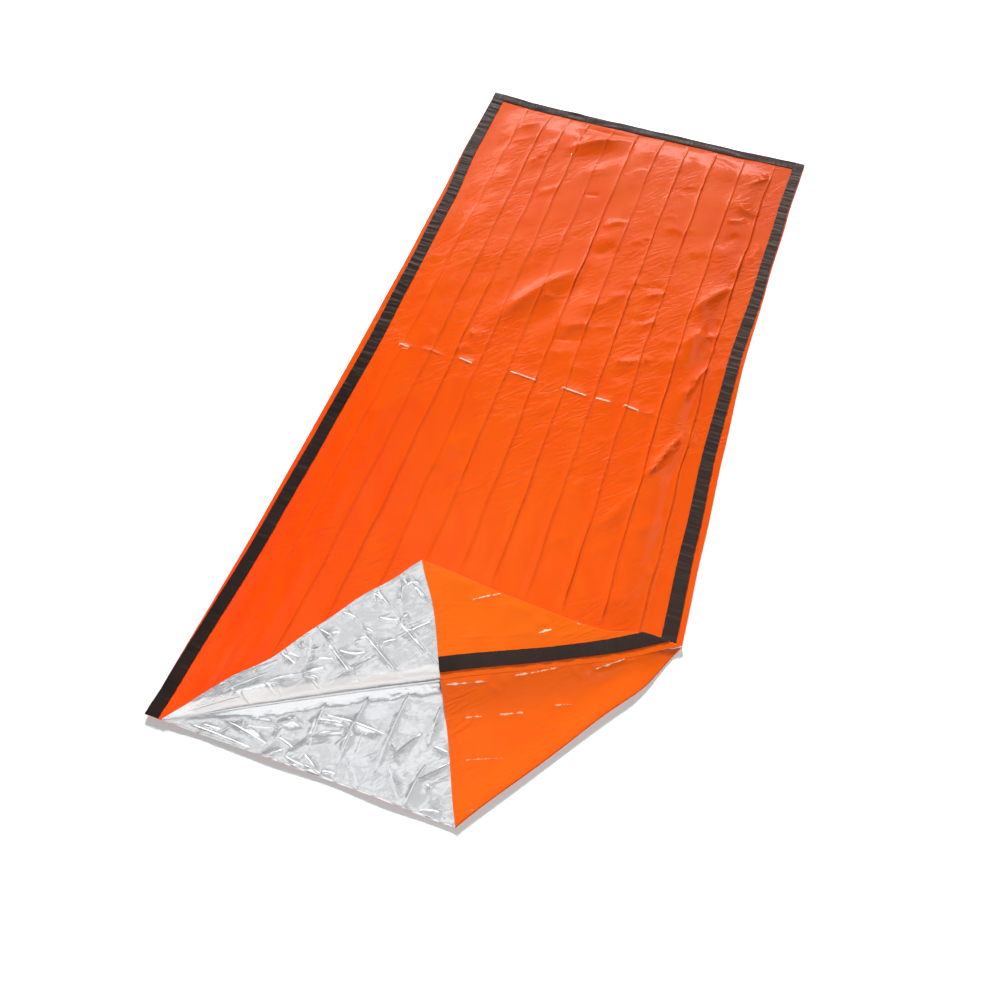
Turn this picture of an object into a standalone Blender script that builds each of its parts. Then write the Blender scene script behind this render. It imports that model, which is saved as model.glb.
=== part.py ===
"""Emergency sleeping bag: two film panels taped along three sides, lying flat with one mouth corner turned back.

The bag lies on its bottom panel, +Z up. X runs across it and Y along it, with the mouth at -Y and the foot at
+Y. Each panel starts as a flat pattern with its creases cut as lines. Its outline is drawn in to the shape in
which it lies on the floor, its mouth corner is folded over, and its creases and loft are raised. A place is a
point of that outline on the floor before any folding.
"""

import math

import bmesh
import bpy
from mathutils import Vector

# ---------------------------------------------------------------- driving sizes, in metres
BAG_WIDTH = 0.90
BAG_LENGTH = 2.00
FILM_THICKNESS = 0.001
TAPE_THICKNESS = 0.001
TAPE_WIDTH = 0.029
FOOT_TAPE_WIDTH = 0.028
LAYER_GAP = 0.0003
LEFT_SEAM_WIDTH = 0.047
RIGHT_SEAM_WIDTH = 0.049
FOOT_SEAM_WIDTH = 0.032
LOFT = 0.012
SHOULDER = 0.095

BOTTOM_LEVEL = FILM_THICKNESS / 2
TOP_LEVEL = BOTTOM_LEVEL + FILM_THICKNESS + LAYER_GAP

# The hinge is the line over which the mouth's corner of the top panel is turned back. It runs from the end of
# the left seam to the apex on the right side. The corner fold runs from the apex to the mouth, half way in
# angle between the hinge and the side, so that both panels' corners meet along the hinge.
HINGE_START = Vector((-0.416, -BAG_LENGTH / 2))
APEX = Vector((0.4425, -0.540))
HINGE = (APEX - HINGE_START).normalized()
HINGE_UP = Vector((-HINGE.y, HINGE.x))
CORNER_FOLD = (Vector((0.0, -1.0)) - HINGE).normalized()
CORNER_OUT = Vector((-CORNER_FOLD.y, CORNER_FOLD.x))

FLAP_SPACING = 0.0055
FLAP_EASE = 0.060
FLAP_SETTLE = 0.12
FLAP_DRIFT_START = 0.030
FLAP_DRIFT_EASE = 0.055
LIP_EASE = 0.070
LIP_REACH = 0.0055
TIP_SPACING = 0.003
TIP_REACH = 0.003
CORNER_SPACING = 0.0035
CORNER_REACH = 0.003
SEAM_FALL = 0.070
SEAM_START = 0.060
TOP_INSET = 0.0003
BOTTOM_INSET = 0.0012

# Along the hinge, from its start: how high the top panel's lip stands over its seam level, how far apart the
# two layers of its bend are, how far back the upper layer's bend reaches, and how high the bend's tip is.
HINGE_ROWS = (
    # along, lip, spacing, reach, tip share
    (0.000, 0.0000, 0.0030, 0.003, 0.50),
    (0.150, 0.0052, 0.0068, 0.010, 0.35),
    (0.330, 0.0058, 0.0088, 0.017, 0.25),
    (0.520, 0.0058, 0.0092, 0.019, 0.25),
    (0.760, 0.0032, 0.0080, 0.012, 0.35),
    (0.920, 0.0005, 0.0060, 0.004, 0.50),
    (0.975, 0.0000, 0.0060, 0.004, 0.50),
)

# How far the film lies from where even folding would put it. A place is given along the hinge and above it.
# These rows move every layer that lies there.
DRIFT_ROWS = (
    # along, above, half width, shift along, shift above
    (0.514, -0.275, 0.160, -0.0205, 0.0060),
    (0.510, 0.000, 0.120, -0.0090, -0.0030),
    (0.700, 0.000, 0.110, 0.0000, -0.0085),
    (0.830, 0.000, 0.090, 0.0000, -0.0080),
    (0.880, -0.065, 0.070, 0.0060, -0.0060),
)

# These rows move only the flap, and only inside of the tape along its seam.
FLAP_DRIFT_ROWS = (
    # along, above, half width, shift along, shift above
    (0.200, 0.090, 0.065, 0.0000, -0.0125),
    (0.390, 0.190, 0.060, 0.0000, 0.0100),
    (0.514, 0.275, 0.080, -0.0120, 0.0080),
    (0.620, 0.180, 0.090, 0.0000, -0.0110),
    (0.770, 0.095, 0.150, 0.0000, -0.0250),
)

# Along the bag, from the mouth: how far its sides are drawn in, and how far the tapes lie inside them.
SIDE_ROWS = (
    # along, left side in, right side in, left tape in, right tape in
    (0.00, 0.000, 0.0075, 0.0005, 0.013),
    (0.46, 0.010, 0.0075, 0.0090, 0.013),
    (0.70, 0.011, 0.0135, 0.0120, 0.015),
    (0.95, 0.011, 0.0200, 0.0150, 0.017),
    (1.20, 0.010, 0.0250, 0.0115, 0.011),
    (1.50, 0.006, 0.0180, 0.0100, 0.004),
    (1.75, 0.000, 0.0100, 0.0030, 0.004),
    (2.00, 0.000, 0.0000, 0.0010, 0.003),
)

# Across the bag, from its left side: how far the foot is drawn in.
FOOT_ROWS = (
    # across, foot in
    (0.00, 0.0175),
    (0.12, 0.0250),
    (0.26, 0.0220),
    (0.44, 0.0170),
    (0.58, 0.0120),
    (0.70, 0.0110),
    (0.81, 0.0030),
    (0.90, 0.0000),
)

# The creases left along the bag by its packing: where each runs, its height on the outside, and how far it
# leans across the bag for each metre along it.
CREASE_ROWS = (
    # across, height, lean
    (0.000, 0.0000, 0.000),
    (0.100, -0.0012, 0.012),
    (0.172, 0.0012, 0.009),
    (0.229, -0.0016, 0.007),
    (0.292, 0.0010, 0.001),
    (0.362, 0.0013, 0.003),
    (0.434, 0.0017, 0.002),
    (0.505, 0.0013, 0.002),
    (0.578, 0.0016, 0.003),
    (0.656, 0.0017, 0.003),
    (0.735, 0.0019, 0.005),
    (0.815, 0.0015, 0.008),
    (0.900, 0.0000, 0.000),
)
CREASE_HALF_WIDTH = 0.009
CREASE_FADE = 0.025
CROSS_CREASE_ALONG = 0.985
CROSS_CREASE_HEIGHT = 0.0013

# Puckers of the top panel: the ends of each ridge, its half width and its height. A trough's height is below 0.
PUCKER_ROWS = (
    # start x, start y, end x, end y, half width, height
    (-0.010, 0.945, -0.200, 0.785, 0.026, 0.0050),
    (0.030, 0.905, -0.170, 0.735, 0.024, -0.0030),
    (-0.015, 0.380, -0.220, 0.060, 0.026, 0.0045),
    (0.020, 0.340, -0.150, 0.020, 0.028, -0.0030),
    (0.050, 0.560, -0.010, 0.440, 0.030, 0.0035),
    (0.060, 0.280, -0.020, 0.160, 0.028, 0.0035),
    (0.360, 0.480, 0.270, 0.300, 0.022, 0.0050),
    (0.345, 0.300, 0.250, 0.120, 0.022, 0.0040),
    (0.340, -0.020, 0.270, -0.210, 0.018, 0.0050),
    (0.270, -0.230, 0.200, -0.370, 0.024, 0.0030),
    (0.335, 0.800, 0.250, 0.700, 0.024, 0.0035),
    (0.210, 0.910, 0.290, 0.840, 0.024, 0.0030),
)

# Ridges of the bottom panel's inner face where the open mouth shows it.
MOUTH_RIDGES_ACROSS = (0.172, 0.229, 0.292, 0.362, 0.434, 0.505)
MOUTH_RIDGE_HEIGHT = 0.0008
MOUTH_RIDGE_EASE = 0.030
MOUTH_RIDGE_CLEAR = 0.015

# ---------------------------------------------------------------- where the patterns are cut into facets
TOP_ROW_STEP = 0.068
MOUTH_ROW_STEP = 0.046
MOUTH_COLUMN_STEP = 0.036
PLAIN_STEP = 0.15
FOOT_COLUMN_STEP = 0.06
MOUTH_DEPTH = 0.50
HINGE_CUTS = (-0.040, -0.026, -0.014, -0.0055, -0.0018, 0.0, 0.0018, 0.0055, 0.016)
CORNER_CUTS = (-0.003, -0.001, 0.0, 0.001, 0.003)
SHORTEST_EDGE = 0.0012
ON_LINE = 1e-5
SLOPE_STEP = 0.0002

# Where the tapes lie on the flat pattern before they wander, and how far from each the film wanders with it.
LEFT_TAPE = (0.010, 0.010 + TAPE_WIDTH)
RIGHT_TAPE = (BAG_WIDTH - 0.013 - TAPE_WIDTH, BAG_WIDTH - 0.013)
FOOT_TAPE = (BAG_LENGTH - FOOT_TAPE_WIDTH, BAG_LENGTH)
WANDER_EASE = 0.033

FILM_OUTER = ("film_outer", (0.95, 0.14, 0.015), 0.28, 0.0)
FILM_INNER = ("film_inner", (0.78, 0.79, 0.80), 0.22, 0.9)
TAPE = ("tape", (0.022, 0.018, 0.018), 0.35, 0.0)


# ---------------------------------------------------------------- small helpers
def ease(share):
    """Smooth step from 0 to 1."""
    share = min(1.0, max(0.0, share))
    return share * share * (3.0 - 2.0 * share)


def read(rows, column, at):
    """A table's column at a distance along its first column, eased from row to row."""
    for low, high in zip(rows, rows[1:]):
        if at <= high[0]:
            return low[column] + (high[column] - low[column]) * ease((at - low[0]) / (high[0] - low[0]))
    return rows[-1][column]


def bend(share):
    """A quarter of a round bend: 0 at its tip, 1 where its layer runs flat."""
    share = min(1.0, abs(share))
    return math.sqrt(1.0 - (1.0 - share) ** 2)


def mirrored(point, on_line, normal):
    """The point on the other side of a fold line."""
    return point - 2.0 * (point - on_line).dot(normal) * normal


def steps(start, end, step):
    """Even steps from start to end, each at most one step long."""
    count = max(1, math.ceil((end - start) / step))
    return [start + (end - start) * n / count for n in range(count + 1)]


def along_hinge(place):
    return (place - HINGE_START).dot(HINGE)


def above_hinge(place):
    return (place - HINGE_START).dot(HINGE_UP)


def past_corner_fold(place):
    return (place - APEX).dot(CORNER_OUT)


# ---------------------------------------------------------------- how the film lies
def outline(across, along):
    """Where a point of a flat pattern lies on the floor before any corner is folded."""
    left = -BAG_WIDTH / 2 + read(SIDE_ROWS, 1, along)
    right = BAG_WIDTH / 2 - read(SIDE_ROWS, 2, along)
    lean = read(CREASE_ROWS, 2, across) * (along - BAG_LENGTH / 2)
    foot_in = read(FOOT_ROWS, 1, across) * ease((along - 0.6 * BAG_LENGTH) / (0.4 * BAG_LENGTH))
    return Vector((left + (right - left) * across / BAG_WIDTH + lean, along - BAG_LENGTH / 2 - foot_in))


def puckers(place):
    """Height of the top panel's diagonal puckers."""
    height = 0.0
    for start_x, start_y, end_x, end_y, half_width, rise in PUCKER_ROWS:
        start = Vector((start_x, start_y))
        run = Vector((end_x, end_y)) - start
        share = (place - start).dot(run) / run.length_squared
        if 0.0 < share < 1.0:
            off = (place - start - share * run).length / half_width
            height += rise * math.sin(math.pi * share) * math.exp(-off * off)
    return height


def top_height(place):
    """Height of the top panel's middle surface: level on the seams, lofted between them, low at its lip."""
    along = place.y + BAG_LENGTH / 2
    across = place.x + BAG_WIDTH / 2
    from_left = across - read(SIDE_ROWS, 1, along) - LEFT_SEAM_WIDTH
    from_right = BAG_WIDTH - read(SIDE_ROWS, 2, along) - across - RIGHT_SEAM_WIDTH
    from_foot = BAG_LENGTH - read(FOOT_ROWS, 1, across) - along - FOOT_SEAM_WIDTH
    fullness = ease(from_left / SHOULDER) * ease(from_right / SHOULDER) * ease(from_foot / SHOULDER)
    share = 1.0 - math.exp(-((max(0.0, above_hinge(place)) / LIP_EASE) ** 2))
    lip = read(HINGE_ROWS, 1, along_hinge(place))
    return TOP_LEVEL + lip * (1.0 - share) + (LOFT + puckers(place)) * fullness * share


def flap_spacing(place):
    """How far above the lofted panel its turned-back flap lies: wide at the bend, then close."""
    spacing = read(HINGE_ROWS, 2, along_hinge(place))
    off_hinge = above_hinge(place) / FLAP_EASE
    return FLAP_SPACING + (spacing - FLAP_SPACING) * math.exp(-off_hinge * off_hinge)


def turned_share(place):
    """Share of the turn over the hinge: 0 on the body of the bag, 1 on the flap."""
    reach = read(HINGE_ROWS, 3, along_hinge(place))
    tip = read(HINGE_ROWS, 4, along_hinge(place))
    off_hinge = above_hinge(place)
    if off_hinge > 0.0:
        return tip * (1.0 - bend(off_hinge / min(reach, LIP_REACH)))
    return tip + (1.0 - tip) * bend(off_hinge / reach)


def tipped_share(place, reach):
    """Share of the turn over the corner fold: 0 before it, 1 past it."""
    off_fold = past_corner_fold(place)
    return (1.0 + math.copysign(bend(off_fold / reach), off_fold)) / 2


def drift(rows, place):
    """A table's shift of the film at a place."""
    shift = Vector((0.0, 0.0))
    for along, above, half_width, shift_along, shift_above in rows:
        off = math.hypot(along_hinge(place) - along, above_hinge(place) - above) / half_width
        shift += (HINGE * shift_along + HINGE_UP * shift_above) * math.exp(-off * off)
    return shift


def flap_drift(place):
    """Shift of the turned-back flap, none near the hinge. The flap also settles a little towards the hinge."""
    above = max(0.0, above_hinge(place) - FLAP_DRIFT_START)
    return drift(FLAP_DRIFT_ROWS, place) * ease(above / FLAP_DRIFT_EASE) - HINGE_UP * above * FLAP_SETTLE


def lay_top(place):
    """Middle surface of the top panel: its mouth corner turned back over the hinge, its tip folded again."""
    turned = turned_share(place)
    tipped = tipped_share(place, TIP_REACH)
    lies = place
    if past_corner_fold(place) > 0.0:
        lies = mirrored(lies, APEX, CORNER_OUT)
    if above_hinge(place) < 0.0:
        lies = mirrored(lies, HINGE_START, HINGE_UP)
    lies = lies + flap_drift(lies) * ease(2.0 * turned - 1.0)
    height = top_height(lies) + turned * flap_spacing(lies) + tipped * TIP_SPACING
    return (lies + drift(DRIFT_ROWS, lies)).to_3d() + Vector((0.0, 0.0, height))


def seam_height(place):
    """Height at which the folded corners of the two panels meet along the hinge."""
    along = along_hinge(place)
    return TOP_LEVEL + read(HINGE_ROWS, 1, along) + read(HINGE_ROWS, 2, along) + TIP_SPACING


def lay_bottom(place):
    """Middle surface of the bottom panel: flat, with its mouth corner folded up to meet the top panel's."""
    tipped = tipped_share(place, CORNER_REACH)
    lies = mirrored(place, APEX, CORNER_OUT) if past_corner_fold(place) > 0.0 else place
    below_hinge = max(0.0, -above_hinge(lies))
    to_fold = abs(past_corner_fold(lies)) + ON_LINE
    share = below_hinge / (below_hinge + to_fold)
    rise = (1.0 - share) ** 2 * math.exp(-((below_hinge / SEAM_FALL) ** 2))
    rise *= ease((lies - APEX).length / SEAM_START)
    spacing = CORNER_SPACING + (seam_height(lies) - BOTTOM_LEVEL - CORNER_SPACING) * rise
    return (lies + drift(DRIFT_ROWS, lies)).to_3d() + Vector((0.0, 0.0, BOTTOM_LEVEL + tipped * spacing))


def top_relief(place, across, along):
    """Height of the packing creases on the top panel's outer face. They fade out at seams and folds."""
    inside = min(across - LEFT_SEAM_WIDTH, BAG_WIDTH - RIGHT_SEAM_WIDTH - across)
    inside = min(inside, BAG_LENGTH - FOOT_SEAM_WIDTH - along, abs(above_hinge(place)))
    height = 0.0
    for crease_across, crease_height, _ in CREASE_ROWS[1:-1]:
        height += crease_height * ease(1.0 - abs(across - crease_across) / CREASE_HALF_WIDTH)
    height += CROSS_CREASE_HEIGHT * ease(1.0 - abs(along - CROSS_CREASE_ALONG) / CREASE_HALF_WIDTH)
    return height * ease(inside / CREASE_FADE) * ease(abs(past_corner_fold(place)) / CREASE_FADE)


def bottom_relief(place, across, along):
    """Height of the bottom panel's ridges, which stand up on its inner face in the open mouth only."""
    inside = ease((-above_hinge(place) - MOUTH_RIDGE_CLEAR) / MOUTH_RIDGE_EASE) * ease(along / MOUTH_RIDGE_EASE)
    height = 0.0
    for ridge_across in MOUTH_RIDGES_ACROSS:
        height += MOUTH_RIDGE_HEIGHT * ease(1.0 - abs(across - ridge_across) / CREASE_HALF_WIDTH)
    return height * inside


def off_surface(lay, place, offset):
    """The laid point, offset from its middle surface towards the side that faces up when flat."""
    east = Vector((SLOPE_STEP, 0.0))
    north = Vector((0.0, SLOPE_STEP))
    run = lay(place + east) - lay(place - east)
    climb = lay(place + north) - lay(place - north)
    return lay(place) + run.cross(climb).normalized() * offset


# ---------------------------------------------------------------- flat patterns
def cut(pattern, on_line, normal, wanted=None):
    """Cut a flat pattern along a straight line: all of it, or only the faces whose centre is wanted."""
    faces = [face for face in pattern.faces if wanted is None or wanted(face.calc_center_median())]
    edges = list({edge for face in faces for edge in face.edges})
    verts = list({vert for face in faces for vert in face.verts})
    bmesh.ops.bisect_plane(
        pattern, geom=verts + edges + faces, dist=ON_LINE,
        plane_co=(on_line[0], on_line[1], 0.0), plane_no=(normal[0], normal[1], 0.0),
    )


def panel(right_inset):
    """One panel cut to size, as a flat face."""
    pattern = bmesh.new()
    bmesh.ops.create_grid(pattern, x_segments=1, y_segments=1, size=0.5)
    for vert in pattern.verts:
        vert.co.x = (vert.co.x + 0.5) * (BAG_WIDTH - right_inset)
        vert.co.y = (vert.co.y + 0.5) * BAG_LENGTH
    return pattern


def wander(across, along):
    """How far the film lies to the right of its even place, so that the tapes lie as far in as they do."""
    left_shift = read(SIDE_ROWS, 3, along) - LEFT_TAPE[0]
    right_shift = BAG_WIDTH - read(SIDE_ROWS, 4, along) - RIGHT_TAPE[1]
    near_left = min(across / LEFT_TAPE[0], 1.0 - (across - LEFT_TAPE[1]) / WANDER_EASE)
    near_right = min((BAG_WIDTH - across) / (BAG_WIDTH - RIGHT_TAPE[1]),
                     1.0 - (RIGHT_TAPE[0] - across) / WANDER_EASE)
    return left_shift * min(1.0, max(0.0, near_left)) + right_shift * min(1.0, max(0.0, near_right))


def draw_in(pattern):
    """Give a pattern the outline in which it lies. Two layers keep where each point is on the cut panel."""
    across = pattern.verts.layers.float.new("across")
    along = pattern.verts.layers.float.new("along")
    for vert in pattern.verts:
        vert[across], vert[along] = vert.co.x, vert.co.y
        vert.co.xy = outline(vert.co.x + wander(vert.co.x, vert.co.y), vert.co.y)


def cut_folds(pattern, hinge_cuts):
    """Cut a drawn-in pattern along its fold lines, and beside them where their bends run."""
    for offset in hinge_cuts:
        cut(pattern, HINGE_START + HINGE_UP * offset, HINGE_UP)
    for offset in CORNER_CUTS:
        cut(pattern, APEX + CORNER_OUT * offset, CORNER_OUT)


def fold_rank(vert):
    """How firmly a point keeps its place when short edges close up: fold lines first, then the outline."""
    place = vert.co.xy
    on_hinge = min(abs(above_hinge(place) - offset) for offset in HINGE_CUTS) < ON_LINE
    on_corner = min(abs(past_corner_fold(place) - offset) for offset in CORNER_CUTS) < ON_LINE
    return 2 * (on_hinge + on_corner) + vert.is_boundary


def close_short_edges(pattern):
    """Weld the ends of edges that are too short to matter."""
    targets = {}
    for edge in sorted(pattern.edges, key=lambda edge: edge.calc_length()):
        if edge.calc_length() >= SHORTEST_EDGE:
            break
        loose, firm = sorted(edge.verts, key=fold_rank)
        if loose not in targets and loose not in targets.values() and firm not in targets:
            targets[loose] = firm
    bmesh.ops.weld_verts(pattern, targetmap=targets)


def top_pattern():
    """The top panel's pattern, cut along its creases, its tapes' edges and its folds."""
    pattern = panel(TOP_INSET)
    columns = list(LEFT_TAPE + RIGHT_TAPE)
    for low, high in zip(CREASE_ROWS, CREASE_ROWS[1:]):
        middle = (low[0] + high[0]) / 2
        columns += [low[0] + CREASE_HALF_WIDTH, middle, high[0] - CREASE_HALF_WIDTH, high[0]]
    for across in columns[:-1]:
        cut(pattern, (across, 0.0), (1.0, 0.0))
    cross_crease = [CROSS_CREASE_ALONG + side * CREASE_HALF_WIDTH for side in (-1, 0, 1)]
    for along in steps(0.0, BAG_LENGTH, TOP_ROW_STEP)[1:-1] + cross_crease + [FOOT_TAPE[0]]:
        cut(pattern, (0.0, along), (0.0, 1.0))
    draw_in(pattern)
    cut_folds(pattern, HINGE_CUTS)
    close_short_edges(pattern)
    return pattern


def bottom_pattern():
    """The bottom panel's pattern: plain, but cut finely where the open mouth shows it and where it folds."""
    pattern = panel(BOTTOM_INSET)
    for along in steps(0.0, MOUTH_DEPTH, MOUTH_ROW_STEP)[1:] + steps(MOUTH_DEPTH, BAG_LENGTH, PLAIN_STEP)[1:-1]:
        cut(pattern, (0.0, along), (0.0, 1.0))
    columns = steps(MOUTH_RIDGES_ACROSS[-1] + CREASE_HALF_WIDTH, BAG_WIDTH, MOUTH_COLUMN_STEP)[1:-1]
    for ridge in MOUTH_RIDGES_ACROSS:
        columns += [ridge - CREASE_HALF_WIDTH, ridge, ridge + CREASE_HALF_WIDTH]
    for across in columns:
        cut(pattern, (across, 0.0), (1.0, 0.0), lambda centre: centre.y < MOUTH_DEPTH)
    for across in steps(0.0, BAG_WIDTH, FOOT_COLUMN_STEP)[1:-1]:
        cut(pattern, (across, 0.0), (1.0, 0.0), lambda centre: centre.y > BAG_LENGTH - PLAIN_STEP)
    draw_in(pattern)
    cut_folds(pattern, ())
    close_short_edges(pattern)
    return pattern


def tape_pattern(panel_pattern, across_range, along_range):
    """The part of the top panel's pattern that a tape covers."""
    pattern = panel_pattern.copy()
    across = pattern.verts.layers.float["across"]
    along = pattern.verts.layers.float["along"]
    bare = []
    for face in pattern.faces:
        centre_across = sum(vert[across] for vert in face.verts) / len(face.verts)
        centre_along = sum(vert[along] for vert in face.verts) / len(face.verts)
        in_width = across_range[0] < centre_across < across_range[1]
        if not (in_width and along_range[0] < centre_along < along_range[1]):
            bare.append(face)
    bmesh.ops.delete(pattern, geom=bare, context="FACES")
    if along_range[1] < BAG_LENGTH:
        for vert in pattern.verts:
            if vert[along] > along_range[1] - ON_LINE:
                vert.co.y -= LAYER_GAP
    return pattern


# ---------------------------------------------------------------- pieces
def material(name, colour, roughness, metallic):
    """A plain material, made once."""
    if name in bpy.data.materials:
        return bpy.data.materials[name]
    made = bpy.data.materials.new(name)
    made.use_nodes = True
    shader = made.node_tree.nodes["Principled BSDF"]
    shader.inputs["Base Color"].default_value = (*colour, 1.0)
    shader.inputs["Roughness"].default_value = roughness
    shader.inputs["Metallic"].default_value = metallic
    return made


def add_sheet(name, pattern, lay, relief, low, high, finishes, parent):
    """Make one closed piece from a flat pattern, between two offsets from the surface along which it lies."""
    across = pattern.verts.layers.float["across"]
    along = pattern.verts.layers.float["along"]
    bmesh.ops.triangulate(pattern, faces=pattern.faces[:])
    extruded = bmesh.ops.extrude_face_region(pattern, geom=pattern.faces[:])
    upper = {item for item in extruded["geom"] if isinstance(item, bmesh.types.BMVert)}
    for vert in upper:
        vert.co.z = high - low
    bmesh.ops.recalc_face_normals(pattern, faces=pattern.faces[:])
    for face in pattern.faces:
        face.material_index = 0 if any(vert in upper for vert in face.verts) else len(finishes) - 1
    laid = {}
    for vert in pattern.verts:
        place = vert.co.xy
        offset = (high if vert in upper else low) + relief(place, vert[across], vert[along])
        laid[vert] = off_surface(lay, place, offset)
    for vert, point in laid.items():
        vert.co = point
    mesh = bpy.data.meshes.new(name)
    pattern.to_mesh(mesh)
    pattern.free()
    for finish in finishes:
        mesh.materials.append(material(*finish))
    mesh.shade_smooth()
    mesh.set_sharp_from_angle(angle=math.radians(50.0))
    piece = bpy.data.objects.new(name, mesh)
    piece.parent = parent
    bpy.context.scene.collection.objects.link(piece)


def no_relief(place, across, along):
    """Tapes lie where the film has no creases."""
    return 0.0


def main():
    for old in list(bpy.data.objects):
        bpy.data.objects.remove(old)
    bag = bpy.data.objects.new("sleeping_bag", None)
    bpy.context.scene.collection.objects.link(bag)
    half = FILM_THICKNESS / 2
    tape_low = half + LAYER_GAP
    tape_high = tape_low + TAPE_THICKNESS

    top = top_pattern()
    side_reach = (0.0, FOOT_TAPE[0])
    tapes = {
        "left_tape": tape_pattern(top, LEFT_TAPE, side_reach),
        "right_tape": tape_pattern(top, RIGHT_TAPE, side_reach),
        "foot_tape": tape_pattern(top, (0.0, BAG_WIDTH), FOOT_TAPE),
    }
    add_sheet("bottom_panel", bottom_pattern(), lay_bottom, bottom_relief, -half, half,
              (FILM_INNER, FILM_OUTER), bag)
    add_sheet("top_panel", top, lay_top, top_relief, -half, half, (FILM_OUTER, FILM_INNER), bag)
    for name, pattern in tapes.items():
        add_sheet(name, pattern, lay_top, no_relief, tape_low, tape_high, (TAPE,), bag)


main()
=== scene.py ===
import math

import bmesh
import bpy
import numpy as np
from mathutils import Matrix, Vector, noise


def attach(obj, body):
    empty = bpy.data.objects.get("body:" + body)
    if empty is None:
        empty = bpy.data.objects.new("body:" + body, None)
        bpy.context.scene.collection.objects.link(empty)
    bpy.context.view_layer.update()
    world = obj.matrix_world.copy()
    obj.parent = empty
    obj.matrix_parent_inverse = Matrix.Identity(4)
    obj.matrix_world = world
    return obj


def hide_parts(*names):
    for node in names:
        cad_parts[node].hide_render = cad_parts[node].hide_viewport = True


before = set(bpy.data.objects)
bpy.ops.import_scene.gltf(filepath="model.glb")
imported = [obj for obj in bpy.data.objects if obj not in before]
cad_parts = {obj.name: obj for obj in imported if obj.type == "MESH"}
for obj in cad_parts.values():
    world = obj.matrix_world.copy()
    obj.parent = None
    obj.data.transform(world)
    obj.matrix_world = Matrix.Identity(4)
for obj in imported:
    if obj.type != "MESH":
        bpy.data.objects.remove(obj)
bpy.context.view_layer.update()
print("frame loaded")

# The camera stands at the mouth end and looks down at the bag.
camera = {
    "lens": 34.402,
    "sensor": 36.0,
    "clip": (0.05, 60.0),
    "at": (0.27388, -1.39768, 1.69631),
    "right": (0.94750, 0.31609, 0.04832),
    "down": (0.29126, -0.79073, -0.53843),
    "looks": (-0.13198, 0.52424, -0.84128),
}


def addCamera():
    lens = bpy.data.cameras.new("camera")
    lens.lens = camera["lens"]
    lens.sensor_width = camera["sensor"]
    lens.clip_start, lens.clip_end = camera["clip"]
    stand = bpy.data.objects.new("camera", lens)
    bpy.context.scene.collection.objects.link(stand)
    right, down, looks = (Vector(camera[key]).normalized() for key in ("right", "down", "looks"))
    turn = Matrix((right, -down, -looks)).transposed()
    stand.matrix_world = Matrix.Translation(camera["at"]) @ turn.to_4x4()
    bpy.context.scene.camera = stand


addCamera()
print("camera placed")

# The cut of the bag, and how its outline lies on the floor. Along runs from the mouth, across from the left.
bag = {
    "width": 0.90,
    "length": 2.00,
    "film": 0.0006,
    "loft": 0.012,
    "shoulder": 0.095,
    "bottomLevel": 0.0005,
    "topLevel": 0.0018,
    "leftSeam": 0.047,
    "rightSeam": 0.049,
    "footSeam": 0.032,
    "topInset": 0.0002,
    "bottomInset": 0.0003,
    "footFrom": 1.2,
    "footReach": 0.8,
    # along, left side in, right side in, left tape in, right tape in
    "sides": (
        (0.00, 0.000, 0.0075, 0.0005, 0.013),
        (0.46, 0.010, 0.0075, 0.0090, 0.013),
        (0.70, 0.011, 0.0135, 0.0120, 0.015),
        (0.95, 0.011, 0.0200, 0.0150, 0.017),
        (1.20, 0.010, 0.0250, 0.0115, 0.011),
        (1.50, 0.006, 0.0180, 0.0100, 0.004),
        (1.75, 0.000, 0.0100, 0.0030, 0.004),
        (2.00, 0.000, 0.0000, 0.0010, 0.003),
    ),
    # across, foot in
    "foot": (
        (0.00, 0.0175), (0.12, 0.0250), (0.26, 0.0220), (0.44, 0.0170),
        (0.58, 0.0120), (0.70, 0.0110), (0.81, 0.0030), (0.90, 0.0000),
    ),
}

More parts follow.
